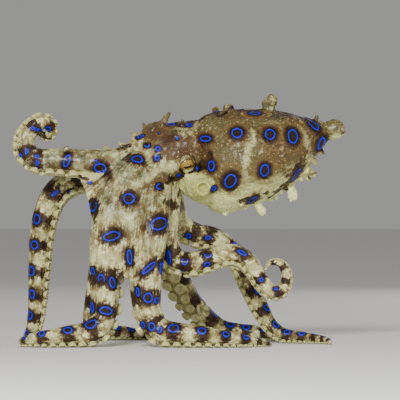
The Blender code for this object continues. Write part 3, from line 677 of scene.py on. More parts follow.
# The near side as seen from the left: x, z, outer width and height, turn in degrees, and for an open
# ring the direction it is open in
nearRings = {
    "mantle": [(1.3, 51.6, 3.1, 1.8, 0), (9.3, 53.0, 3.1, 2.8, 0), (17.5, 52.7, 2.9, 3.1, 15),
               (23.2, 52.2, 2.75, 4.0, 10), (28.3, 55.2, 4.2, 1.7, -41, 180), (30.4, 50.3, 2.0, 3.4, -12),
               (24.1, 42.6, 3.9, 1.35, 52), (16.2, 43.6, 2.5, 3.35, -12), (7.6, 41.0, 3.1, 3.9, -32),
               (2.8, 44.8, 2.0, 2.9, 0), (3.5, 39.2, 1.4, 1.5, 0), (13.2, 36.3, 2.8, 1.4, 30)],
    "head": [(-13.25, 49.9, 1.7, 1.1, 10, 90), (-10.5, 49.1, 1.6, 1.5, 0), (-10.7, 46.75, 1.8, 1.5, 35),
             (-15.7, 46.6, 3.1, 2.05, -5), (-10.2, 39.7, 1.85, 1.8, 0, 0), (-5.7, 51.7, 0.6, 0.75, 0),
             (-5.3, 42.4, 0.8, 0.6, 30), (-10.2, 53.0, 0.35, 0.35, 0), (-0.7, 44.1, 0.45, 0.75, 0)],
    "crown": [(-17.8, 36.6, 3.2, 3.0, 0), (-26.8, 34.7, 2.3, 3.0, -20, 110), (-10.1, 30.4, 4.35, 3.3, 20),
              (-22.0, 27.2, 4.4, 2.6, 15), (-17.6, 22.0, 1.6, 4.0, 4), (-12.7, 19.3, 4.6, 1.5, 42)],
    "arms": [(-25.0, 44.2, 3.45, 2.7, -12), (-26.0, 46.1, 0.5, 0.5, 0), (-33.3, 46.0, 1.9, 3.5, -18),
             (-40.8, 47.2, 1.4, 1.1, 0), (-40.6, 45.5, 1.2, 1.2, 0), (-41.0, 44.1, 1.0, 0.8, 0),
             (-45.0, 47.0, 1.5, 2.1, -20), (-43.3, 48.4, 1.2, 1.8, -20), (-41.8, 54.2, 1.0, 0.8, 0),
             (-40.4, 53.8, 0.8, 0.7, 0), (-26.8, 18.5, 0.9, 2.2, 10), (-24.7, 16.6, 2.0, 2.6, 20, 250),
             (-21.9, 15.6, 1.9, 3.1, 12), (-27.0, 9.4, 0.9, 2.8, 10), (-23.5, 8.6, 3.6, 2.2, -10),
             (-15.6, 13.3, 0.9, 2.6, 8), (-13.0, 11.8, 2.6, 2.8, 0), (-10.8, 11.2, 1.3, 1.9, -10),
             (-14.3, 5.0, 1.0, 2.0, 10), (-12.1, 4.6, 2.0, 2.4, 0), (-10.0, 3.8, 1.5, 1.8, -15),
             (-9.6, 19.4, 0.8, 2.2, 4), (-7.8, 21.7, 1.0, 3.8, 6), (-3.8, 21.0, 1.9, 2.2, -10, 90),
             (-4.6, 18.2, 1.3, 0.8, 0), (1.9, 22.5, 2.2, 1.5, -10, 90), (1.8, 20.1, 2.0, 1.4, 10),
             (10.5, 23.1, 2.8, 1.3, -28), (15.3, 16.3, 1.3, 1.5, -30), (19.9, 16.5, 0.9, 0.9, 0),
             (19.0, 14.0, 0.9, 0.7, 0), (-2.9, 27.2, 1.8, 1.6, 0), (2.0, 26.8, 1.9, 1.3, 10),
             (-27.6, 40.7, 1.2, 0.8, 20), (-32.2, 38.4, 1.9, 0.6, 20), (-36.3, 37.9, 2.4, 0.7, 35)],
}
# The mantle's far side, its back and its belly: place, turn from the back, half length, half width
mantleRings = [(1.8, 60, 1.5, 1.2), (8.5, 48, 1.5, 1.4), (8.0, 98, 1.7, 1.5), (15.5, 62, 1.5, 1.6),
               (15.0, 112, 1.4, 1.6), (22.0, 58, 1.7, 1.4), (21.5, 108, 1.5, 1.4), (26.8, 80, 1.3, 1.5),
               (29.0, 30, 1.2, 1.5), (4.6, 4, 1.6, 1.3), (11.8, 6, 1.8, 1.5), (13.6, -20, 1.4, 1.2),
               (20.8, 8, 1.5, 1.3), (26.2, -6, 1.4, 1.1), (2.6, 104, 1.1, 1.2), (12.0, 146, 1.3, 1.0),
               (21.0, 150, 1.3, 1.0), (30.4, 110, 0.9, 1.1)]
# The top of the head: where the ring is dropped from, half length, half width
headRings = [((-2.6, 2.4, 60.0), (1.5, 1.1)), ((-7.4, -2.2, 60.0), (1.3, 0.9)),
             ((-17.6, 1.4, 60.0), (1.4, 1.0)), ((-14.8, -3.4, 60.0), (0.9, 0.8)),
             ((-2.6, -3.6, 60.0), (0.9, 0.7))]
# The far side of the head and the crown: x, z, half length, half width
farHeadRings = [(-3.6, 51.0, 1.3, 1.0), (-4.4, 45.6, 1.4, 1.3), (-9.6, 45.0, 1.2, 1.0),
                (-15.4, 46.8, 1.5, 1.1), (-9.0, 40.6, 1.3, 1.1)]
ringShape = {
    # the line: half its width, its soft edge, its waver, and how near its own ring a vertex must be
    "lineHalf": 0.155, "soft": 0.05, "wobble": 0.06, "waver": 0.02, "close": (0.32, 0.46),
    # from the outer size to the middle of the line, and how small a ring may get
    "inset": 0.3, "narrow": 0.33, "leastInset": 0.12, "farInset": 0.22,
    # when a ring is laid along the skin and not in the picture plane
    "tiny": 0.3, "reach": 0.6, "lean": 2.6, "bulge": 0.5,
    # an open ring's gap in degrees either way, its edges, and how far off the line is there
    "opening": 38, "openEdge": (14, -6), "none": 4.0,
    # the dark patch and its halo, in shares of the ring's size, and how far round a ring they are looked for
    "patch": 0.66, "patchMore": 0.4, "halo": 2.2, "around": (3.2, 3.5), "behind": -0.05,
    # rings on the bands of the arms
    "armShare": 0.4, "flat": 0.85, "stretch": (0.85, 1.25), "turns": (-52, 46), "oneRow": 1.2, "turnDraw": 8,
    "alongDraw": 0.4, "farSide": 0.3, "mantleDraw": 5, "apart": 0.95,
    # places of the bands
    "bandShare": 2.0, "bandGap": 0.9, "webStart": 8.0, "tipGap": 1.2,
}

skinFaces = [tuple(face.vertices) for face in skinMesh.polygons]
skinTree = BVHTree.FromPolygons([Vector(point) for point in skinPoints], skinFaces)
eyePoint = Vector((camera["middle"][0], -camera["distance"], camera["middle"][1]))


def hit(origin, direction):
    # where a line first meets the skin, or None
    return skinTree.ray_cast(Vector(origin), Vector(direction).normalized())[0]


def seenPoint(x, z):
    # where the line of sight through x, z meets the skin
    return hit(eyePoint, Vector((x, 0, z)) - eyePoint)


def seenRing(x, z, width, height, turn, gap=None):
    # the ring as seen, laid down along the skin
    middle = seenPoint(x, z)
    if middle is None:
        return None
    shape = ringShape
    a, axes = math.radians(turn), []
    ways = ((math.cos(a), math.sin(a)), (-math.sin(a), math.cos(a)))
    for (wayX, wayZ), extent in zip(ways, (width, height)):
        half = max(extent / 2 - shape["inset"], min(shape["narrow"], extent / 2 - shape["leastInset"]))
        reach = max(half, shape["reach"])
        ends = [seenPoint(x + side * wayX * reach, z + side * wayZ * reach) for side in (1, -1)]
        axis = Vector((wayX, 0, wayZ)) * half
        if half > shape["tiny"] and None not in ends:
            span, bulge = (ends[0] - ends[1]).length, (ends[0] / 2 + ends[1] / 2 - middle).length
            if span < 2 * reach * shape["lean"] and bulge < shape["bulge"] * reach:
                axis = (ends[0] - ends[1]) * (half / (2 * reach))
        axes.append(axis)
    long, wide = axes
    out = long.cross(wide).normalized()
    out = out if out.dot(middle - eyePoint) < 0 else -out
    u, v = wide.cross(out), out.cross(long)
    return {"at": middle, "out": out, "u": u * (long.length / long.dot(u)),
            "v": v * (wide.length / wide.dot(v)), "size": (long.length, wide.length), "gap": gap}


def surfaceRing(point, along, size):
    # a ring of the given half sizes on the skin nearest to a point
    place, normal, _, _ = skinTree.find_nearest(point)
    u = (along - normal * along.dot(normal)).normalized()
    return {"at": place, "out": normal, "u": u, "v": normal.cross(u), "size": size, "gap": None}


def farRing(point, along, long, wide):
    # a ring given by its outer half sizes
    return surfaceRing(point, along, (long - ringShape["farInset"], wide - ringShape["farInset"]))


nearBands = {
    # the dark bands that show on the near arms: x, z of the middle
    "left1": [(-40.9, 45.5), (-44.2, 48.0), (-41.2, 54.0)],
    "left2": [(-23.4, 17.0), (-23.4, 8.8)],
    "left3": [(-13.2, 12.2), (-12.4, 4.4)],
    "left4": [(-8.4, 20.8), (-3.9, 19.9), (1.9, 21.4), (10.6, 22.7), (15.0, 16.6), (19.4, 13.6),
              (20.8, 16.2)],
    "right4": [(-2.8, 27.4), (2.2, 26.8)],
}


def bandPlaces(name):
    # the places of an arm's bands: those seen in the photo, then evenly on to the tip
    frames = armPaths[name]
    runs = []
    for x, z in nearBands.get(name, []):
        runs.append(min(frames, key=lambda place: math.hypot(place.at.x - x, place.at.z - z)).run)
    seen = len(runs)
    run = runs[-1] if runs else ringShape["webStart"] - ringShape["bandGap"]
    place = frameAt(frames, run)
    while True:
        run += (ringShape["bandShare"] * place.radius if runs else 0) + ringShape["bandGap"]
        place = frameAt(frames, run)
        if run > frames[-1].run - ringShape["tipGap"]:
            return runs, seen
        runs.append(run)


def armRings(name, draw):
    # two rings on each band, one where the arm is thin, apart from those given above
    shape = ringShape
    runs, seen = bandPlaces(name)
    rings = []
    for k, run in enumerate(runs):
        place = frameAt(armPaths[name], run)
        size = shape["armShare"] * place.radius
        for turn in shape["turns"] if place.radius > shape["oneRow"] else (0,):
            a = math.radians(turn + draw.uniform(-shape["turnDraw"], shape["turnDraw"]))
            a = a if arms[name].hand < 0 else -a
            out = place.side * math.sin(a) - place.face * math.cos(a)
            moved = place.along * draw.uniform(-shape["alongDraw"], shape["alongDraw"])
            if k >= seen or out.y > shape["farSide"]:
                long = size * draw.uniform(*shape["stretch"])
                rings.append(surfaceRing(place.at + out * place.radius + moved, place.along,
                                         (long, size * shape["flat"])))
    return rings, runs


def clearOf(ring, others):
    # whether a ring keeps clear of the lines of the rings laid before it
    size, apart = max(ring["size"]), ringShape["apart"]
    return all((ring["at"] - other["at"]).length > apart * (size + max(other["size"])) for other in others)


def gatherRings():
    draw = random.Random(7)
    drift = ringShape["mantleDraw"]
    rings = [seenRing(*row) for rows in nearRings.values() for row in rows]
    rings = [ring for ring in rings if ring]
    for x, turn, *size in mantleRings:
        point = mantlePlace(x, turn + draw.uniform(-drift, drift))[0]
        rings.append(farRing(point, Vector((0.9, 0, 0.3)), *size))
    for origin, size in headRings:
        rings.append(farRing(hit(origin, (0, 0, -1)), Vector((1, 0, 0)), *size))
    for x, z, *size in farHeadRings:
        rings.append(farRing(hit((x, 60, z), (0, -1, 0)), Vector((1, 0, 0.4)), *size))
    bands = {}
    for name in arms:
        made, bands[name] = armRings(name, draw)
        for ring in made:
            if clearOf(ring, rings):
                rings.append(ring)
    return rings, bands


def ringFields(rings):
    # for the nearest ring its place, x and y in shares of its size, its size, and the distance to its
    # line; also how dark the patch round it is, and the patch's halo
    count, none = len(skinPoints), ringShape["none"]
    line, x1, y1 = np.full(count, none), np.full(count, none), np.zeros(count)
    sizeA, sizeB, dark, halo = np.ones(count), np.ones(count), np.zeros(count), np.zeros(count)
    for ring in rings:
        a, b = ring["size"]
        shares, beyond = ringShape["around"]
        offset = skinPoints - np.array(ring["at"])
        near = np.flatnonzero((np.linalg.norm(offset, axis=1) < shares * max(a, b) + beyond)
                              & (skinNormals @ np.array(ring["out"]) > ringShape["behind"]))
        x, y = offset[near] @ np.array(ring["u"]), offset[near] @ np.array(ring["v"])
        share = np.sqrt((x / a) ** 2 + (y / b) ** 2) + 1e-6
        slope = np.sqrt((x / a ** 2) ** 2 + (y / b ** 2) ** 2) / share + 1e-6
        distance = np.clip((share - 1) / slope, -none, none)
        shown = distance
        if ring["gap"] is not None:
            turned = np.abs((np.degrees(np.arctan2(y / b, x / a)) - ring["gap"] + 180) % 360 - 180)
            edges = [ringShape["opening"] + step for step in ringShape["openEdge"]]
            shown = distance + none * smoothStep(*edges, turned)
        closer = np.abs(shown) < np.abs(line[near])
        found = near[closer]
        line[found], x1[found], y1[found] = shown[closer], (x / a)[closer], (y / b)[closer]
        sizeA[found], sizeB[found] = a, b
        spread = ringShape["patch"] * math.sqrt(a * b) + ringShape["patchMore"]
        beyond = np.maximum(distance, 0)
        dark[near] = np.maximum(dark[near], np.exp(-(beyond / spread) ** 2))
        halo[near] = np.maximum(halo[near], np.exp(-(beyond / (ringShape["halo"] * spread)) ** 2))
    return {"ringLine": line, "ringX": x1, "ringY": y1, "ringA": sizeA, "ringB": sizeB, "dark": dark,
            "halo": halo}


rings, armBands = gatherRings()
ringParts = ringFields(rings)
print("rings laid:", len(rings))

# How wide a band is, and how far into the web the first may lie
bandShape = {"share": 0.58, "more": 0.3, "webReach": 22, "intoWeb": 3, "strength": 0.7}
# the pale underside: the line over it, and the edges within which it shows
bellyShape = {"crease": [(-6.0, 42.0), (-3.75, 43.5), (-2.0, 43.9), (-0.7, 43.6), (1.5, 42.2), (3.4, 41.0),
                         (4.6, 38.4), (8.0, 37.2), (12.0, 37.4), (17.0, 38.6), (22.0, 40.2), (27.0, 45.0)],
              "crown": ([33, 38, 41, 43.5], [-3.2, -4.5, -5.0, -5.4]), "edge": (0.5, -0.4), "from": 30,
              "facing": (-0.35, -0.85), "behind": (-3, 0), "crownEdge": (0.5, -0.6)}
# Where granules gather: x, z, radius, amount
grainClusters = [(-16.5, 52.5, 2.6, 2.0), (-3.4, 54.2, 2.6, 2.5), (6.5, 47.5, 4.0, 0.8),
                 (8.5, 36.5, 4.0, 1.2), (-14.0, 40.5, 3.0, 0.6), (-8.5, 44.8, 2.0, 0.9),
                 (-30.0, 48.0, 4.0, 0.8)]

# Ground colours as seen from the left. A cloud is x, z, half sizes, turn and strength, a stroke is its
# route of x and z, its width and its strength
brownClouds = [(-11.6, 53.2, 4.6, 3.4, 10, 1.0), (-9.5, 49.0, 4.6, 3.0, 0, 0.9),
               (-5.0, 50.6, 5.6, 3.0, 15, 0.9), (-5.0, 47.7, 4.6, 1.7, 20, 0.9),
               (-1.6, 48.6, 3.2, 3.0, -10, 0.9), (10.5, 52.8, 3.2, 2.6, 0, 0.8),
               (17.2, 52.6, 3.2, 3.0, 0, 0.9), (23.0, 51.5, 3.0, 4.4, 10, 1.0),
               (7.4, 41.2, 3.0, 3.6, -30, 0.9), (16.2, 43.6, 2.6, 3.2, -10, 0.8),
               (26.5, 47.5, 2.4, 4.0, -20, 0.85), (21.6, 41.6, 5.2, 1.7, 48, 1.0),
               (1.5, 47.6, 1.7, 3.8, -15, 0.9), (-10.0, 41.0, 6.0, 2.0, 33, 1.0),
               (10.0, 57.6, 11.0, 1.8, 0, 0.8), (20.5, 50.0, 5.6, 7.0, -10, 0.85),
               (28.8, 51.0, 2.4, 5.6, -15, 0.9), (6.8, 50.8, 2.4, 3.0, 20, 0.45),
               (17.5, 39.6, 7.5, 1.6, 22, 0.6), (8.2, 44.4, 3.6, 3.6, 30, 0.45),
               (-13.5, 35.0, 4.0, 3.0, 35, 0.45), (-7.0, 35.2, 1.9, 1.9, 0, 1.0),
               (24.5, 56.0, 5.0, 1.9, -10, 0.85), (-15.5, 50.5, 2.5, 1.6, 40, 0.5),
               (-12.0, 26.5, 2.5, 5.0, 15, 0.35), (-10.9, 29.7, 3.7, 3.5, 20, 1.0),
               (-21.4, 27.0, 3.6, 2.4, 15, 0.8), (-17.5, 36.6, 3.0, 2.6, 20, 0.7),
               (-15.4, 46.4, 3.2, 2.2, -20, 0.8), (-13.2, 44.2, 2.6, 1.5, -50, 0.75),
               (-18.5, 41.0, 3.0, 2.0, 20, 0.3), (-26.6, 40.6, 2.2, 1.2, 0, 0.9),
               (-35.8, 37.9, 2.6, 1.0, 35, 0.9)]
russetClouds = [(-10.5, 52.0, 6.0, 4.5, 0, 1.0), (-3.5, 49.0, 5.0, 4.0, 10, 0.7),
                (-9.5, 40.5, 6.0, 3.0, 33, 0.6), (-10.0, 31.0, 4.0, 4.0, 0, 0.5),
                (-22.0, 14.0, 6.0, 4.0, 0, 0.5), (-13.0, 12.0, 4.0, 4.0, 0, 0.5)]
# Painted shade, and partly a darker ground tone: clouds that darken the near side's ground where it lies in
# less light
shadeClouds = [(-32.0, 46.0, 13.0, 4.2, 2, 0.85), (-19.0, 43.5, 8.0, 4.6, 20, 0.88),
               (-14.0, 36.0, 8.0, 4.5, 35, 0.85), (-22.0, 35.5, 5.0, 5.0, 0, 0.75),
               (-13.0, 28.0, 3.0, 7.0, 10, 0.6), (33.5, 52.5, 2.8, 3.2, 0, 0.65),
               (-19.0, 29.0, 3.5, 4.0, 20, 0.5), (-44.0, 44.0, 4.0, 8.0, 0, 0.55),
               (-5.0, 50.5, 9.0, 5.0, 10, 0.85), (14.0, 51.0, 17.0, 8.0, 0, 0.5),
               (19.0, 58.0, 14.0, 2.5, -8, 0.85), (6.0, 43.0, 5.0, 3.0, 0, 0.3)]
darkStrokes = [([(-8.0, 40.9), (-5.3, 42.4), (-4.4, 43.3)], 0.8, 0.85),
               ([(-1.0, 44.2), (1.4, 44.9)], 0.9, 0.85), ([(1.8, 48.2), (3.2, 46.6)], 0.8, 0.7),
               ([(17.4, 37.4), (20.0, 39.2), (22.4, 41.4), (25.4, 45.0)], 1.0, 0.7),
               ([(-8.6, 55.6), (-4.2, 54.9), (-2.0, 55.8), (0.7, 57.2), (4.5, 58.2)], 0.6, 0.8),
               ([(5.5, 58.3), (8.0, 58.8), (15.6, 58.8)], 0.8, 0.8),
               ([(18.9, 58.6), (25.6, 57.1)], 0.8, 0.8), ([(-4.9, 37.0), (-4.8, 38.6)], 0.7, 0.8),
               ([(11.0, 35.5), (14.6, 37.6)], 0.9, 0.7), ([(-7.5, 35.3), (-6.5, 35.1)], 1.5, 0.62),
               ([(-27.4, 32.4), (-25.6, 34.0)], 0.9, 0.8), ([(-20.0, 49.3), (-17.6, 50.1)], 0.55, 0.7),
               ([(-19.4, 47.0), (-17.0, 46.9)], 0.7, 0.7), ([(-33.0, 41.6), (-27.5, 41.6)], 0.35, 0.8),
               ([(-9.6, 51.0), (-5.6, 51.9)], 1.0, 0.55)]
paleStrokes = [([(17.5, 58.6), (18.2, 62.4)], 1.1, 0.75), ([(6.9, 58.4), (7.2, 60.8)], 1.1, 0.7),
               ([(4.0, 58.5), (4.0, 60.2)], 0.8, 0.8), ([(32.4, 53.6), (36.0, 54.8)], 1.6, 0.6),
               ([(27.0, 46.4), (30.0, 45.4)], 0.8, 0.9), ([(26.8, 44.4), (29.6, 43.6)], 0.9, 0.9),
               ([(-15.4, 52.6), (-14.4, 54.4)], 0.9, 0.9), ([(-5.4, 46.3), (-2.6, 46.9)], 0.5, 0.7),
               ([(-12.6, 47.6), (-11.2, 48.2)], 0.5, 0.8),
               ([(12.7, 53.2), (12.9, 50.6), (11.6, 47.6), (12.0, 44.0), (10.4, 40.4), (7.4, 37.4)],
                0.95, 0.95),
               ([(13.6, 52.0), (15.6, 50.4), (16.7, 50.4)], 0.5, 0.8),
               ([(12.0, 44.0), (10.6, 42.2), (9.4, 38.6)], 0.8, 0.7),
               ([(24.6, 55.0), (26.4, 52.0), (27.0, 49.0), (28.2, 46.0), (30.0, 45.4)], 0.8, 0.85),
               ([(-18.0, 53.0), (-15.5, 50.4), (-12.8, 47.2)], 0.7, 0.8),
               ([(-5.2, 54.4), (-1.4, 53.8)], 1.5, 0.8),
               ([(-16.8, 39.1), (-12.2, 42.2), (-7.7, 44.1), (-4.2, 45.6)], 0.85, 0.8),
               ([(-7.3, 38.0), (-7.0, 39.2)], 1.2, 0.85), ([(-18.4, 32.2), (-16.2, 32.9)], 0.8, 1.0),
               ([(-27.8, 46.9), (-26.6, 47.1)], 0.7, 1.0),
               ([(-27.0, 31.0), (-21.0, 32.6), (-18.2, 31.6)], 1.8, 0.5),
               ([(-12.4, 25.6), (-7.0, 26.6)], 2.0, 0.6), ([(-26.5, 22.8), (-20.2, 21.6)], 2.4, 0.8),
               ([(-26.6, 12.6), (-19.8, 12.6)], 1.7, 0.8), ([(-16.4, 8.4), (-10.0, 8.2)], 1.8, 0.8),
               ([(-14.6, 15.6), (-10.4, 17.4)], 1.0, 0.6), ([(3.2, 54.6), (3.4, 50.0)], 0.9, 0.45),
               ([(20.2, 55.2), (20.9, 50.0), (20.4, 47.0)], 0.6, 0.5),
               ([(14.6, 55.4), (17.4, 55.8), (20.0, 54.6)], 0.6, 0.6),
               ([(16.7, 50.2), (15.3, 49.0)], 0.35, 0.9)]


strokeShape = {"waver": 1.3, "width": 0.9, "edge": 2.4, "cloudEdge": 1.6}
swayX, swayZ, swell = [noiseAt(skinPoints, size, seed) for size, seed in ((2.6, 11), (2.6, 12), (1.7, 13))]


def seenFromLeft(points):
    # x and z in the picture plane through the animal's middle
    scale = camera["distance"] / (camera["distance"] + points[:, 1])
    x = camera["middle"][0] + (points[:, 0] - camera["middle"][0]) * scale
    z = camera["middle"][1] + (points[:, 2] - camera["middle"][1]) * scale
    return x, z


def cloudField(points, clouds):
    x, z = seenFromLeft(points)
    total = np.zeros(len(points))
    for cx, cz, a, b, turn, strength in clouds:
        c, s = math.cos(math.radians(turn)), math.sin(math.radians(turn))
        dx, dz = x - cx, z - cz
        share = ((dx * c + dz * s) / a) ** 2 + ((dz * c - dx * s) / b) ** 2
        total = np.maximum(total, strength * np.exp(-share ** strokeShape["cloudEdge"]))
    return total


def strokeField(points, strokes):
    # the strokes' edges waver
    x, z = seenFromLeft(points)
    x, z = x + strokeShape["waver"] * swayX, z + strokeShape["waver"] * swayZ
    total = np.zeros(len(points))
    for route, width, strength in strokes:
        for (ax, az), (bx, bz) in zip(route, route[1:]):
            dx, dz = bx - ax, bz - az
            t = np.clip(((x - ax) * dx + (z - az) * dz) / (dx ** 2 + dz ** 2), 0, 1)
            away = np.hypot(x - ax - t * dx, z - az - t * dz) * (1 + strokeShape["width"] * swell)
            total = np.maximum(total, strength * np.exp(-(away / width) ** strokeShape["edge"]))
    return total


def bandField():
    # dark saddles across the arms beyond the web, where the rings sit
    total = np.zeros(len(skinPoints))
    for k, name in enumerate(armNames):
        frames = armPaths[name]
        mine = armInfo["owner"] == k
        for run in armBands[name]:
            if run < min(arms[name].web, bandShape["webReach"]) - bandShape["intoWeb"]:
                continue
            width = bandShape["share"] * frameAt(frames, run).radius + bandShape["more"]
            total[mine] = np.maximum(total[mine], np.exp(-np.abs((armInfo["run"][mine] - run) / width) ** 3))
    return total


def bellyField(points):
    # the pale underside: the funnel and the region below the crease, the belly, and inside the web
    shape, crease = bellyShape, bellyShape["crease"]
    x, z = seenFromLeft(points)
    below = smoothStep(*shape["edge"], z - np.interp(x, *zip(*crease)))
    below = below * (x > crease[0][0]) * (x < crease[-1][0]) * (z > shape["from"])
    down = smoothStep(*shape["facing"], skinNormals[:, 2])
    down = down * smoothStep(*shape["behind"], points[:, 0]) * (points[:, 2] > shape["from"])
    crownSide = smoothStep(*shape["crownEdge"], x - np.interp(z, *shape["crown"]))
    return np.clip(np.maximum(below * (1 - crownSide), down), 0, 1)


# how the fields are laid over each other: where the near side ends, how the markings of the far side are
# moved, and the shares and edges of the rest
paint = {"nearEdge": (3, -3), "cloudsMoved": (-2.0, 0, 0.5), "strokesMoved": (2.0, 0, -0.6),
         "topFacing": (0.72, 0.95), "topFrom": (-12, 45), "suckerClear": 0.9, "ringClear": 0.7,
         "warmEdge": (2.0, -5.0), "tailEdge": (29.6, 31.2), "tailClear": 0.8, "throat": (3.0, 6.0, 3.0),
         "grainEdge": (0.15, 0.7), "eyeClear": (1.8, 2.6), "grain": (0.25, 0.75, 0.5, 1.2)}


def bothSides(near, field, rows, moved):
    # a field on the near side, and its mirror image, a little moved, on the far side
    mirrored = skinPoints * np.array((1, -1, 1)) + np.array(moved)
    return near * field(skinPoints, rows) + (1 - near) * field(mirrored, rows)


def grainField(belly, warm, tail, dark, oral):
    # how thick the granules lie: thickest on pale skin, none on dark patches, suckers and lids
    fine = 1 - smoothStep(*paint["grainEdge"], dark)
    least, onBelly, onWarm, onTail = paint["grain"]
    grain = fine * (1 - oral) * (least + onBelly * belly + onWarm * warm + onTail * tail)
    seenX, seenZ = seenFromLeft(skinPoints)
    for x, z, radius, more in grainClusters:
        grain = grain + more * fine * np.exp(-(((seenX - x) ** 2 + (seenZ - z) ** 2) / radius ** 2) ** 2)
    return grain * awayFromEyes(skinPoints, *paint["eyeClear"])


def paintFields():
    oral, ring = oralSide, ringParts
    x, y, z = skinPoints.T
    near = smoothStep(*paint["nearEdge"], y)
    tail = smoothStep(*paint["tailEdge"], x)
    belly = bellyField(skinPoints)
    warm = smoothStep(*paint["warmEdge"], alongCrown(skinPoints)) * (1 - onArm)
    # up-facing skin on the head and mantle turns brown: partly the dark dorsal skin, partly painted shade on
    # the top, which the light from the front reaches less
    fromX, fromZ = paint["topFrom"]
    back = smoothStep(*paint["topFacing"], skinNormals[:, 2]) * (z > fromZ) * (x > fromX)
    brown = np.maximum(bothSides(near, cloudField, brownClouds, paint["cloudsMoved"]), back)
    brown = brown * (1 - paint["tailClear"] * tail)
    bands = bandField() * onArm * (1 - oral)
    dark = np.maximum(ring["dark"], bandShape["strength"] * bands) * (1 - paint["suckerClear"] * oral)
    dark = np.maximum(dark, near * strokeField(skinPoints, darkStrokes))
    angle = armInfo["turn"] * math.pi / 4
    throat = ((skinPoints - np.array(funnel["route"][3])) ** 2 / np.array(paint["throat"]) ** 2).sum(1)
    ring["ringLine"][oral > paint["ringClear"]] = ringShape["none"]
    return {**ring, "dark": dark, "halo": np.maximum(ring["halo"], bands) * (1 - oral),
            "brown": brown * (1 - oral), "russet": cloudField(skinPoints, russetClouds),
            # painted shade, partly a darker ground tone, on the near side only
            "shade": near * cloudField(skinPoints, shadeClouds),
            "pale": bothSides(near, strokeField, paleStrokes, paint["strokesMoved"]),
            "belly": belly, "throat": np.exp(-throat), "oral": oral, "warm": warm, "webbed": webbed,
            "grain": grainField(belly, warm, tail, dark, oral),
            "fanX": np.cos(angle), "fanY": np.sin(angle), "run": armInfo["run"]}


def writeField(mesh, name, values):
    attribute = mesh.attributes.new(name, "FLOAT", "POINT")
    attribute.data.foreach_set("value", values.astype(np.float32))


for fieldName, fieldValues in paintFields().items():
    writeField(skinMesh, fieldName, fieldValues)
print("skin painted")


# Materials

class Graph:
    # adds nodes to a node tree; an input is given a value or the socket it is joined to
    def __init__(self, tree):
        self.tree = tree

    def link(self, value, socket):
        if hasattr(value, "links"):
            self.tree.links.new(value, socket)
        else:
            socket.default_value = value

    def add(self, kind, socket=None, inputs=None, **settings):
        # the named output of a new node, or all its outputs
        node = self.tree.nodes.new(kind)
        for name, value in settings.items():
            setattr(node, name, value)
        for name, value in (inputs or {}).items():
            self.link(value, node.inputs[name])
        return node.outputs[socket] if socket is not None else node.outputs

    def math(self, operation, *values):
        return self.add("ShaderNodeMath", "Value", dict(enumerate(values)), operation=operation)


class Nodes(Graph):
    # short names for the nodes a material is made of
    def __init__(self, name):
        self.material = bpy.data.materials.new(name)
        self.material.use_nodes = True
        super().__init__(self.material.node_tree)
        where = self.add("ShaderNodeTexCoord", "Object")
        self.place = self.add("ShaderNodeMapping", "Vector", {"Vector": where, "Scale": (1 / mm,) * 3})

    def link(self, value, socket):
        # a colour is given by its name
        super().link(skinLook[value] if isinstance(value, str) else value, socket)

    def surface(self, values, bump=None):
        # the finished material, from its shader's values and a bump's height, strength and depth
        shader = self.tree.nodes["Principled BSDF"]
        for name, value in values.items():
            self.link(value, shader.inputs[name])
        if bump:
            sockets = dict(zip(("Height", "Strength", "Distance"), bump))
            self.link(self.add("ShaderNodeBump", "Normal", sockets), shader.inputs["Normal"])
        return self.material

    def field(self, name):
        return self.add("ShaderNodeAttribute", "Fac", attribute_name=name)

    def noise(self, size, detail=3.0, distortion=0.0, place=None):
        inputs = {"Vector": place or self.place, "Scale": 1 / size, "Detail": detail}
        inputs["Distortion"] = distortion
        return self.add("ShaderNodeTexNoise", "Fac", inputs)

    def swing(self, *noise, **place):
        # noise spread out to run from -1 to 1
        return self.ramp(self.noise(*noise, **place), 0.28, 0.72, -1, 1)

    def streaks(self, across, along):
        # fine lines along the arms, from the place between the arms and the distance along them
        shares = zip(("fanX", "fanY", "run"), (across, across, 1 / along))
        places = {k: self.times(self.field(name), share) for k, (name, share) in enumerate(shares)}
        return self.swing(1.0, place=self.add("ShaderNodeCombineXYZ", "Vector", places))

    def cells(self, size):
        return self.add("ShaderNodeTexVoronoi", "Distance", {"Scale": 1 / size, "Vector": self.place})

    def plus(self, a, b):
        return self.math("ADD", a, b)

    def times(self, a, b, more=None):
        # a times b, and more added to it
        return self.math("MULTIPLY", a, b) if more is None else self.math("MULTIPLY_ADD", a, b, more)

    def length(self, x, y):
        return self.math("SQRT", self.times(x, x, self.times(y, y)))

    def ramp(self, value, low, high, start=0.0, end=1.0):
        inputs = {"Value": value, "From Min": low, "From Max": high, "To Min": start, "To Max": end}
        return self.add("ShaderNodeMapRange", "Result", inputs, interpolation_type="SMOOTHSTEP")

    def mix(self, share, a, b, blend="MIX"):
        # sockets 6, 7 and 2 are the ones for colours
        return self.add("ShaderNodeMix", 2, {"Factor": share, 6: a, 7: b}, data_type="RGBA", blend_type=blend)

    def over(self, base, colour, value, low, high, most=1.0, where=None):
        # lays a colour over the base as a value passes from low to high, up to the share most
        share = self.ramp(value, low, high, 0, most)
        return self.mix(share if where is None else self.times(where, share), base, colour)

    def ringLines(self, wobble):
        # 1 on a ring's line, from the place within the nearest ring
        x, y, a, b = [self.field(name) for name in ("ringX", "ringY", "ringA", "ringB")]
        share = self.plus(self.length(x, y), 1e-5)
        slope = self.math("DIVIDE", self.length(self.math("DIVIDE", x, a), self.math("DIVIDE", y, b)), share)
        away = self.math("SUBTRACT", self.math("SUBTRACT", share, 1.0), wobble)
        away = self.math("ABSOLUTE", self.math("DIVIDE", away, self.math("MAXIMUM", slope, 1e-3)))
        half, soft = ringShape["lineHalf"], ringShape["soft"]
        close = self.ramp(self.math("ABSOLUTE", self.field("ringLine")), *ringShape["close"], 1, 0)
        return self.times(self.ramp(away, half - soft, half + soft, 1, 0), close)


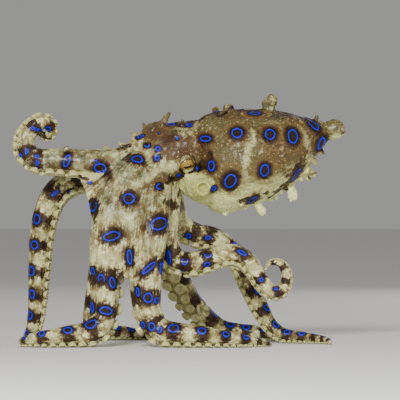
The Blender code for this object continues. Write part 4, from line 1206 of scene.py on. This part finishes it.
skinLook = {
    # the share of light that each colour gives back
    "cream": (0.44, 0.42, 0.185, 1), "sand": (0.25, 0.20, 0.075, 1), "tan": (0.155, 0.110, 0.036, 1),
    "olive": (0.105, 0.09, 0.032, 1), "white": (0.80, 0.77, 0.42, 1), "brown": (0.072, 0.036, 0.015, 1),
    # shade is a grey-blue that multiplies the ground: painted shade, partly also a darker ground tone
    "russet": (0.076, 0.036, 0.017, 1), "shade": (0.31, 0.33, 0.36, 1), "bark": (0.050, 0.024, 0.010, 1),
    "umber": (0.010, 0.0045, 0.003, 1), "inside": (0.026, 0.012, 0.008, 1), "belly": (0.74, 0.78, 0.26, 1),
    "throat": (0.34, 0.36, 0.08, 1), "gold": (0.20, 0.12, 0.028, 1), "blue": (0.0, 0.004, 0.62, 1),
    # the pale specks' colour: partly the skin's white specks, partly painted glints
    "speckAndGlint": (0.86, 0.84, 0.62, 1), "sucker": (0.50, 0.47, 0.20, 1),
    # the eye's
    "iris": (0.36, 0.25, 0.045, 1), "amber": (0.17, 0.075, 0.014, 1), "rim": (0.03, 0.016, 0.008, 1),
    "pupil": (0.001, 0.001, 0.001, 1),
}
# noises in mm, with their detail and distortion, and streaks, across and along the arms
skinNoise = {"wide": (3.4, 4, 0.4), "middle": (1.2, 4, 0.6), "fine": (0.45, 4, 0.4), "grainy": (0.22, 2),
             "streaks": (13.0, 7.0), "threads": (34.0, 3.0)}


def skinMaterial(name, paler=0.0):
    n = Nodes(name)
    wide, middle, fine, grainy = [n.swing(*skinNoise[size]) for size in ("wide", "middle", "fine", "grainy")]
    streaks, threads = [n.streaks(*skinNoise[lines]) for lines in ("streaks", "threads")]
    broad, mottled, flecked, speckled = [n.plus(*pair) for pair in ((wide, middle), (fine, middle),
                                                                    (middle, grainy), (fine, grainy))]
    webbed, shade, dark = [n.field(field) for field in ("webbed", "shade", "dark")]
    ragged = n.plus(n.times(fine, 0.07, n.times(middle, 0.13)), n.times(webbed, n.times(threads, 0.1)))

    # the ground: pale with lines along the web and the arms, warm on the head and the mantle
    pale = n.over("cream", "sand", broad, -0.4, 1.2)
    pale = n.over(pale, "white", n.plus(middle, n.times(fine, 0.4)), 0.0, -1.0, 0.8)
    pale = n.over(pale, "tan", n.times(wide, 0.7, n.times(streaks, 0.6)), 0.0, 0.9, 0.6, webbed)
    pale = n.over(pale, "olive", threads, 0.25, 1.0, 0.4, webbed)
    pale = n.over(pale, "white", threads, -0.25, -1.0, 0.5, webbed)
    warm = n.over("tan", "olive", middle, -0.6, 0.6)
    warm = n.over(warm, "sand", broad, 0.3, 1.5, 0.4)
    warm = n.over(warm, "cream", speckled, 0.6, 1.7, 0.4)
    warm = n.over(warm, "brown", speckled, 0.0, -1.4, 0.45)
    colour = n.mix(n.field("warm"), pale, warm)
    # painted shade, partly a darker ground tone: the grey-blue shade colour multiplies the ground under the
    # shade clouds
    colour = n.mix(n.plus(shade, n.times(shade, n.times(wide, 0.4))), colour, "shade", "MULTIPLY")

    # brown clouds, pale strokes, the belly and the suckers' side
    brown = n.over("brown", n.over("gold", "olive", wide, -0.5, 0.5), mottled, -0.5, 1.3)
    brown = n.mix(n.field("russet"), brown, n.over("russet", "brown", middle, 0.0, 1.2))
    brown = n.over(brown, "bark", grainy, 0.2, 0.9, 0.3)
    colour = n.over(colour, brown, n.times(ragged, 1.8, n.field("brown")), 0.3, 0.8, 0.92)
    stroke = n.over("cream", "white", flecked, -0.2, 1.8)
    colour = n.over(colour, stroke, n.times(ragged, 2.2, n.field("pale")), 0.25, 1.15, 0.68)
    belly = n.over("belly", "white", mottled, -0.6, 1.0)
    belly = n.mix(n.field("throat"), belly, "throat")
    belly = n.over(belly, "throat", flecked, 0.5, 1.5, 0.55)
    belly = n.over(belly, "sand", speckled, 0.3, 1.4, 0.5)
    belly = n.over(belly, "sand", n.plus(wide, fine), 0.4, 1.4, 0.3)
    colour = n.mix(n.times(n.field("belly"), 0.96), colour, belly)
    colour = n.mix(n.times(n.field("oral"), 0.9), colour, "sucker")

    # the dark patches in their halos, the skin within a ring, the pale specks, partly the skin's white specks
    # and partly painted glints of wet skin, and the blue lines
    halo = n.over("brown", "gold", mottled, -0.9, 1.3)
    colour = n.over(colour, halo, n.times(ragged, 1.8, n.field("halo")), 0.25, 1.05, 0.85)
    depth = n.times(ragged, 1.3, dark)
    colour = n.over(colour, "bark", depth, 0.16, 0.6, 0.95)
    colour = n.over(colour, "umber", depth, 0.42, 0.95, 0.95)
    within = n.times(n.ramp(n.field("ringLine"), -0.3, -0.8), n.ramp(mottled, -0.8, 0.8, 0.1, 1))
    colour = n.mix(within, colour, "inside")
    # pale specks on small cells away from the dark patches: partly real white specks, partly painted glints
    specksAndGlints = n.times(n.ramp(n.cells(0.8), 0.1, 0.16, 1, 0), n.ramp(middle, 0.25, 0.8, 0, 0.8))
    colour = n.mix(n.times(specksAndGlints, n.ramp(dark, 0.1, 0.5, 1, 0.04)), colour, "speckAndGlint")
    if paler:
        colour = n.mix(n.times(n.ramp(dark, 0.1, 0.6, 1, 0), paler), colour, "white")
    waver = n.times(n.swing(1.6, 2), ringShape["wobble"], n.times(fine, ringShape["waver"]))
    colour = n.mix(n.ringLines(waver), colour, "blue")

    height = n.times(n.ramp(n.cells(0.5), 0.0, 0.5, 1, 0), 0.6, n.times(middle, 0.35))
    height = n.plus(height, n.times(webbed, n.times(threads, 0.4)))
    bump = (n.times(fine, 0.3, height), 0.7, 0.00014)
    return n.surface({"Base Color": colour, "Roughness": n.ramp(n.noise(0.6), 0.3, 0.7, 0.36, 0.6),
                      "Specular IOR Level": 0.12, "Coat Weight": 0.15, "Coat Roughness": 0.24,
                      "Subsurface Weight": 0.06, "Subsurface Radius": (1.0, 0.5, 0.3),
                      "Subsurface Scale": 0.0003}, bump)


skinFinish = skinMaterial("skinFinish")
bareSkin = skinMesh.copy()
skin = newObject("skin", skinMesh)
skinMesh.transform(toWorld)
skinMesh.materials.clear()
skinMesh.materials.append(skinFinish)
shadeSmooth(skinMesh)
fleshNodes = [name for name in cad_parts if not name.startswith("eye_")]
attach(skin, "root")
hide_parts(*fleshNodes)
print("skin finished")


class ScatterTree(Graph):
    # a Geometry Nodes tree that sets copies of a small shape on points
    def __init__(self, name, inputs):
        super().__init__(bpy.data.node_groups.new(name, "GeometryNodeTree"))
        self.socket("Geometry", "Geometry", "INPUT")
        self.sockets = {label: self.socket(label, kind, "INPUT") for label, kind in inputs.items()}
        self.socket("Geometry", "Geometry", "OUTPUT")
        self.given = self.add("NodeGroupInput")

    def socket(self, label, kind, way):
        made = self.tree.interface.new_socket(label, in_out=way, socket_type="NodeSocket" + kind)
        return made.identifier

    def attribute(self, name, kind):
        return self.add("GeometryNodeInputNamedAttribute", "Attribute", {"Name": name}, data_type=kind)

    def finish(self, shape, material, points, rotation, scale):
        source = self.add("GeometryNodeObjectInfo", "Geometry", {"Object": shape})
        copies = {"Points": points, "Instance": source, "Rotation": rotation, "Scale": scale}
        copies = self.add("GeometryNodeInstanceOnPoints", "Instances", copies)
        real = self.add("GeometryNodeRealizeInstances", "Geometry", {"Geometry": copies})
        named = self.add("GeometryNodeSetMaterial", "Geometry", {"Geometry": real, "Material": material})
        self.add("NodeGroupOutput", None, {"Geometry": named})

    def pieceOn(self, name, mesh, shape, values):
        # the piece that this tree makes on a mesh, kept on the floor
        holder = newObject(name + "Holder", mesh)
        scatter = holder.modifiers.new("scatter", "NODES")
        scatter.node_group = self.tree
        for label, value in values.items():
            scatter[self.sockets[label]] = value
        made = evaluated(holder, shape)
        setCoordinates(made, onFloor(coordinates(made)))
        made.transform(toWorld)
        piece = newObject(name, made)
        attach(piece, "root")
        print(name, "set:", len(made.polygons), "faces")


# Granules, small rounded bumps scattered over the skin, thickest where it is pale

grainShape = {"density": 0.62, "seed": 5, "least": 0.1, "most": 0.36, "rareness": 2.2, "paler": 0.15,
              "profile": [(1.1, -0.5), (0.95, 0.0), (0.62, 0.32)], "peak": 0.45, "sides": 7}


def makeGrains(mesh):
    # as dense as the skin's "grain" field says, and few of them large
    shape = grainShape
    grain = turnedShape("grainShape", shape["profile"], shape["sides"], shape["peak"])
    inputs = {"Density": "Float", "Smallest": "Float", "Largest": "Float", "Seed": "Int"}
    tree = ScatterTree("grainScatter", inputs)
    given = tree.given
    density = tree.math("MULTIPLY", tree.attribute("grain", "FLOAT"), given["Density"])
    spread = {"Mesh": given["Geometry"], "Density": density, "Seed": given["Seed"]}
    spread = tree.add("GeometryNodeDistributePointsOnFaces", None, spread)
    chance = tree.add("FunctionNodeRandomValue", 1, {"Seed": given["Seed"]})
    size = {"Value": tree.math("POWER", chance, shape["rareness"]), "To Min": given["Smallest"],
            "To Max": given["Largest"]}
    size = tree.add("ShaderNodeMapRange", "Result", size)
    finish = skinMaterial("grainFinish", shape["paler"])
    tree.finish(grain, finish, spread["Points"], spread["Rotation"], size)
    tree.pieceOn("granules", mesh, grain, {"Density": shape["density"], "Smallest": shape["least"],
                                           "Largest": shape["most"], "Seed": shape["seed"]})


makeGrains(bareSkin)


# Suckers, one small cup repeated in two rows along each arm

suckerShape = {"radius": 0.4, "row": 0.46, "rim": 1.06, "sunk": 0.3, "spacing": 0.98, "least": 0.62,
               "start": 12.0, "end": 0.5, "variation": 0.1, "sides": 12, "splay": 0.3, "tilt": 0.12,
               # radius and height of the cup's rings, from its root to its sunken middle
               "profile": [(0.66, -0.9), (0.78, -0.35), (0.94, -0.08), (1.02, 0.14), (1.0, 0.32),
                           (0.86, 0.43), (0.68, 0.36), (0.48, 0.12), (0.22, 0.0)]}


def suckerPlaces():
    # where each cup sits, the way it opens and its size
    draw, shape = random.Random(3), suckerShape
    places = []
    for frames in armPaths.values():
        run, row = shape["start"], 1
        while run < frames[-1].run - shape["end"]:
            place = frameAt(frames, run)
            size = shape["radius"] * place.radius * (1 + draw.uniform(-1, 1) * shape["variation"])
            point = place.at + place.side * (row * shape["row"] * place.radius)
            point += place.face * (shape["rim"] * place.radius - shape["sunk"] * size)
            way = place.face + place.side * (row * shape["splay"])
            way += place.along * draw.uniform(-shape["tilt"], shape["tilt"])
            places.append((point, way.normalized(), size))
            run += max(shape["spacing"] * place.radius, shape["least"]) / 2
            row = -row
    return places


def suckerMaterial():
    n = Nodes("suckerFinish")
    colour = n.over("sucker", "cream", n.noise(0.9), 0.35, 0.65)
    colour = n.mix(n.ramp(n.cells(0.3), 0.1, 0.22, 0.35, 0), colour, "brown")
    return n.surface({"Base Color": colour, "Roughness": n.ramp(n.noise(0.5), 0.3, 0.7, 0.28, 0.42),
                      "Coat Weight": 0.3, "Coat Roughness": 0.12, "Subsurface Weight": 0.25,
                      "Subsurface Radius": (1.0, 0.7, 0.4), "Subsurface Scale": 0.0008},
                     (n.noise(0.25, 3), 0.4, 0.00006))


def makeSuckers():
    # a cup on every point, turned along "way" and scaled by "size"
    points, ways, sizes = zip(*suckerPlaces())
    mesh = bpy.data.meshes.new("suckerPoints")
    mesh.from_pydata(points, [], [])
    ways = [part for way in ways for part in way]
    mesh.attributes.new("way", "FLOAT_VECTOR", "POINT").data.foreach_set("vector", ways)
    writeField(mesh, "size", np.array(sizes))
    cup = turnedShape("suckerCup", suckerShape["profile"], suckerShape["sides"])
    tree = ScatterTree("suckerRows", {"Cup scale": "Float"})
    held = tree.add("GeometryNodeMeshToPoints", "Points", {"Mesh": tree.given["Geometry"]})
    way = {"Vector": tree.attribute("way", "FLOAT_VECTOR")}
    turned = tree.add("FunctionNodeAlignRotationToVector", "Rotation", way, axis="Z")
    scale = tree.math("MULTIPLY", tree.attribute("size", "FLOAT"), tree.given["Cup scale"])
    tree.finish(cup, suckerMaterial(), held, turned, scale)
    tree.pieceOn("suckers", mesh, cup, {"Cup scale": 1.0})


makeSuckers()


# Eyes: a ball with a gold iris and a level black slit

# half width and height of the slit and how round it is, and where the iris ends and its rim begins
irisShape = {"slit": (1.1, 0.33), "round": (2.6, 2.0), "rim": (1.75, 2.1)}


def eyeMaterial():
    n = Nodes("eyeFinish")
    across, up = n.field("across"), n.field("up")
    fine = n.noise(0.16, 3)
    away = n.math("SQRT", n.plus(n.math("POWER", across, 2.0), n.math("POWER", up, 2.0)))
    colour = n.over("iris", "amber", fine, 0.35, 0.65)
    colour = n.over(colour, "rim", away, *irisShape["rim"])
    slit = n.plus(*[n.math("POWER", n.math("ABSOLUTE", n.math("DIVIDE", value, half)), power)
                    for value, half, power in zip((across, up), irisShape["slit"], irisShape["round"])])
    colour = n.mix(n.ramp(slit, 0.8, 1.15, 1, 0), colour, "pupil")
    return n.surface({"Base Color": colour, "Roughness": 0.3, "Specular IOR Level": 0.1, "Coat Weight": 0.7,
                      "Coat Roughness": 0.02}, (fine, 0.2, 0.00004))


def makeEye(name, eye, finish):
    turn = Matrix((*eyeAxes(eye["gaze"]), eye["gaze"])).transposed().to_4x4()
    bm = bmesh.new()
    bmesh.ops.create_uvsphere(bm, u_segments=48, v_segments=32, radius=eyeShape["radius"])
    mesh = meshFromBmesh(name, bm)
    local = coordinates(mesh)
    aside = np.hypot(local[:, 0], local[:, 1]) / eyeShape["corneaWidth"]
    local[:, 2] += eyeShape["cornea"] * np.exp(-aside ** 2) * (local[:, 2] > 0)
    setCoordinates(mesh, local)
    writeField(mesh, "across", local[:, 0])
    writeField(mesh, "up", local[:, 1])
    mesh.transform(toWorld @ Matrix.Translation(eye["middle"]) @ turn)
    mesh.materials.append(finish)
    shadeSmooth(mesh)
    piece = newObject(name, mesh)
    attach(piece, "root")
    return piece


eyeFinish = eyeMaterial()
for side, eye in eyes.items():
    piece = makeEye("eyeBall" + side.capitalize(), eye, eyeFinish)
    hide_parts("eye_" + side)
print("eyes set")


# Stage, light and camera

stage = {"floor": 4.0, "colour": (0.80, 0.79, 0.77, 1), "target": (0, 0, 0.03),
         # place, size and power of each light, in metres and watts
         "lights": {"keyLight": ((-0.10, -0.64, 0.30), 0.12, 6.2),
                    "fillLight": ((0.45, -0.45, 0.10), 0.5, 1.2), "backLight": ((0.3, 0.45, 0.2), 0.4, 0.8)},
         "sky": (0.82, 0.82, 0.81, 1), "skyPower": 0.4}


def makeStage():
    bm = bmesh.new()
    bmesh.ops.create_grid(bm, x_segments=1, y_segments=1, size=stage["floor"])
    piece = newObject("stageFloor", meshFromBmesh("stageFloor", bm))
    finish = Nodes("stageFinish").surface({"Base Color": stage["colour"], "Roughness": 0.8})
    piece.data.materials.append(finish)


def makeLights():
    for name, (place, size, power) in stage["lights"].items():
        light = bpy.data.lights.new(name, "AREA")
        light.size = size
        light.energy = power
        lamp = newObject(name, light)
        lamp.location = place
        lamp.rotation_euler = (Vector(stage["target"]) - Vector(place)).to_track_quat("-Z", "Y").to_euler()
    world = bpy.data.worlds.new("studio")
    world.use_nodes = True
    sky = world.node_tree.nodes["Background"].inputs
    sky["Color"].default_value = stage["sky"]
    sky["Strength"].default_value = stage["skyPower"]
    bpy.context.scene.world = world


def makeCamera():
    lens = bpy.data.cameras.new("camera")
    lens.sensor_width = 36
    lens.lens = lens.sensor_width * camera["distance"] / camera["frameWidth"]
    lens.clip_start, lens.clip_end = 0.01, 20
    view = newObject("camera", lens)
    view.location = toWorld @ eyePoint
    view.rotation_euler = (math.pi / 2, 0, 0)
    bpy.context.scene.camera = view


makeStage()
makeLights()
makeCamera()
print("stage set")
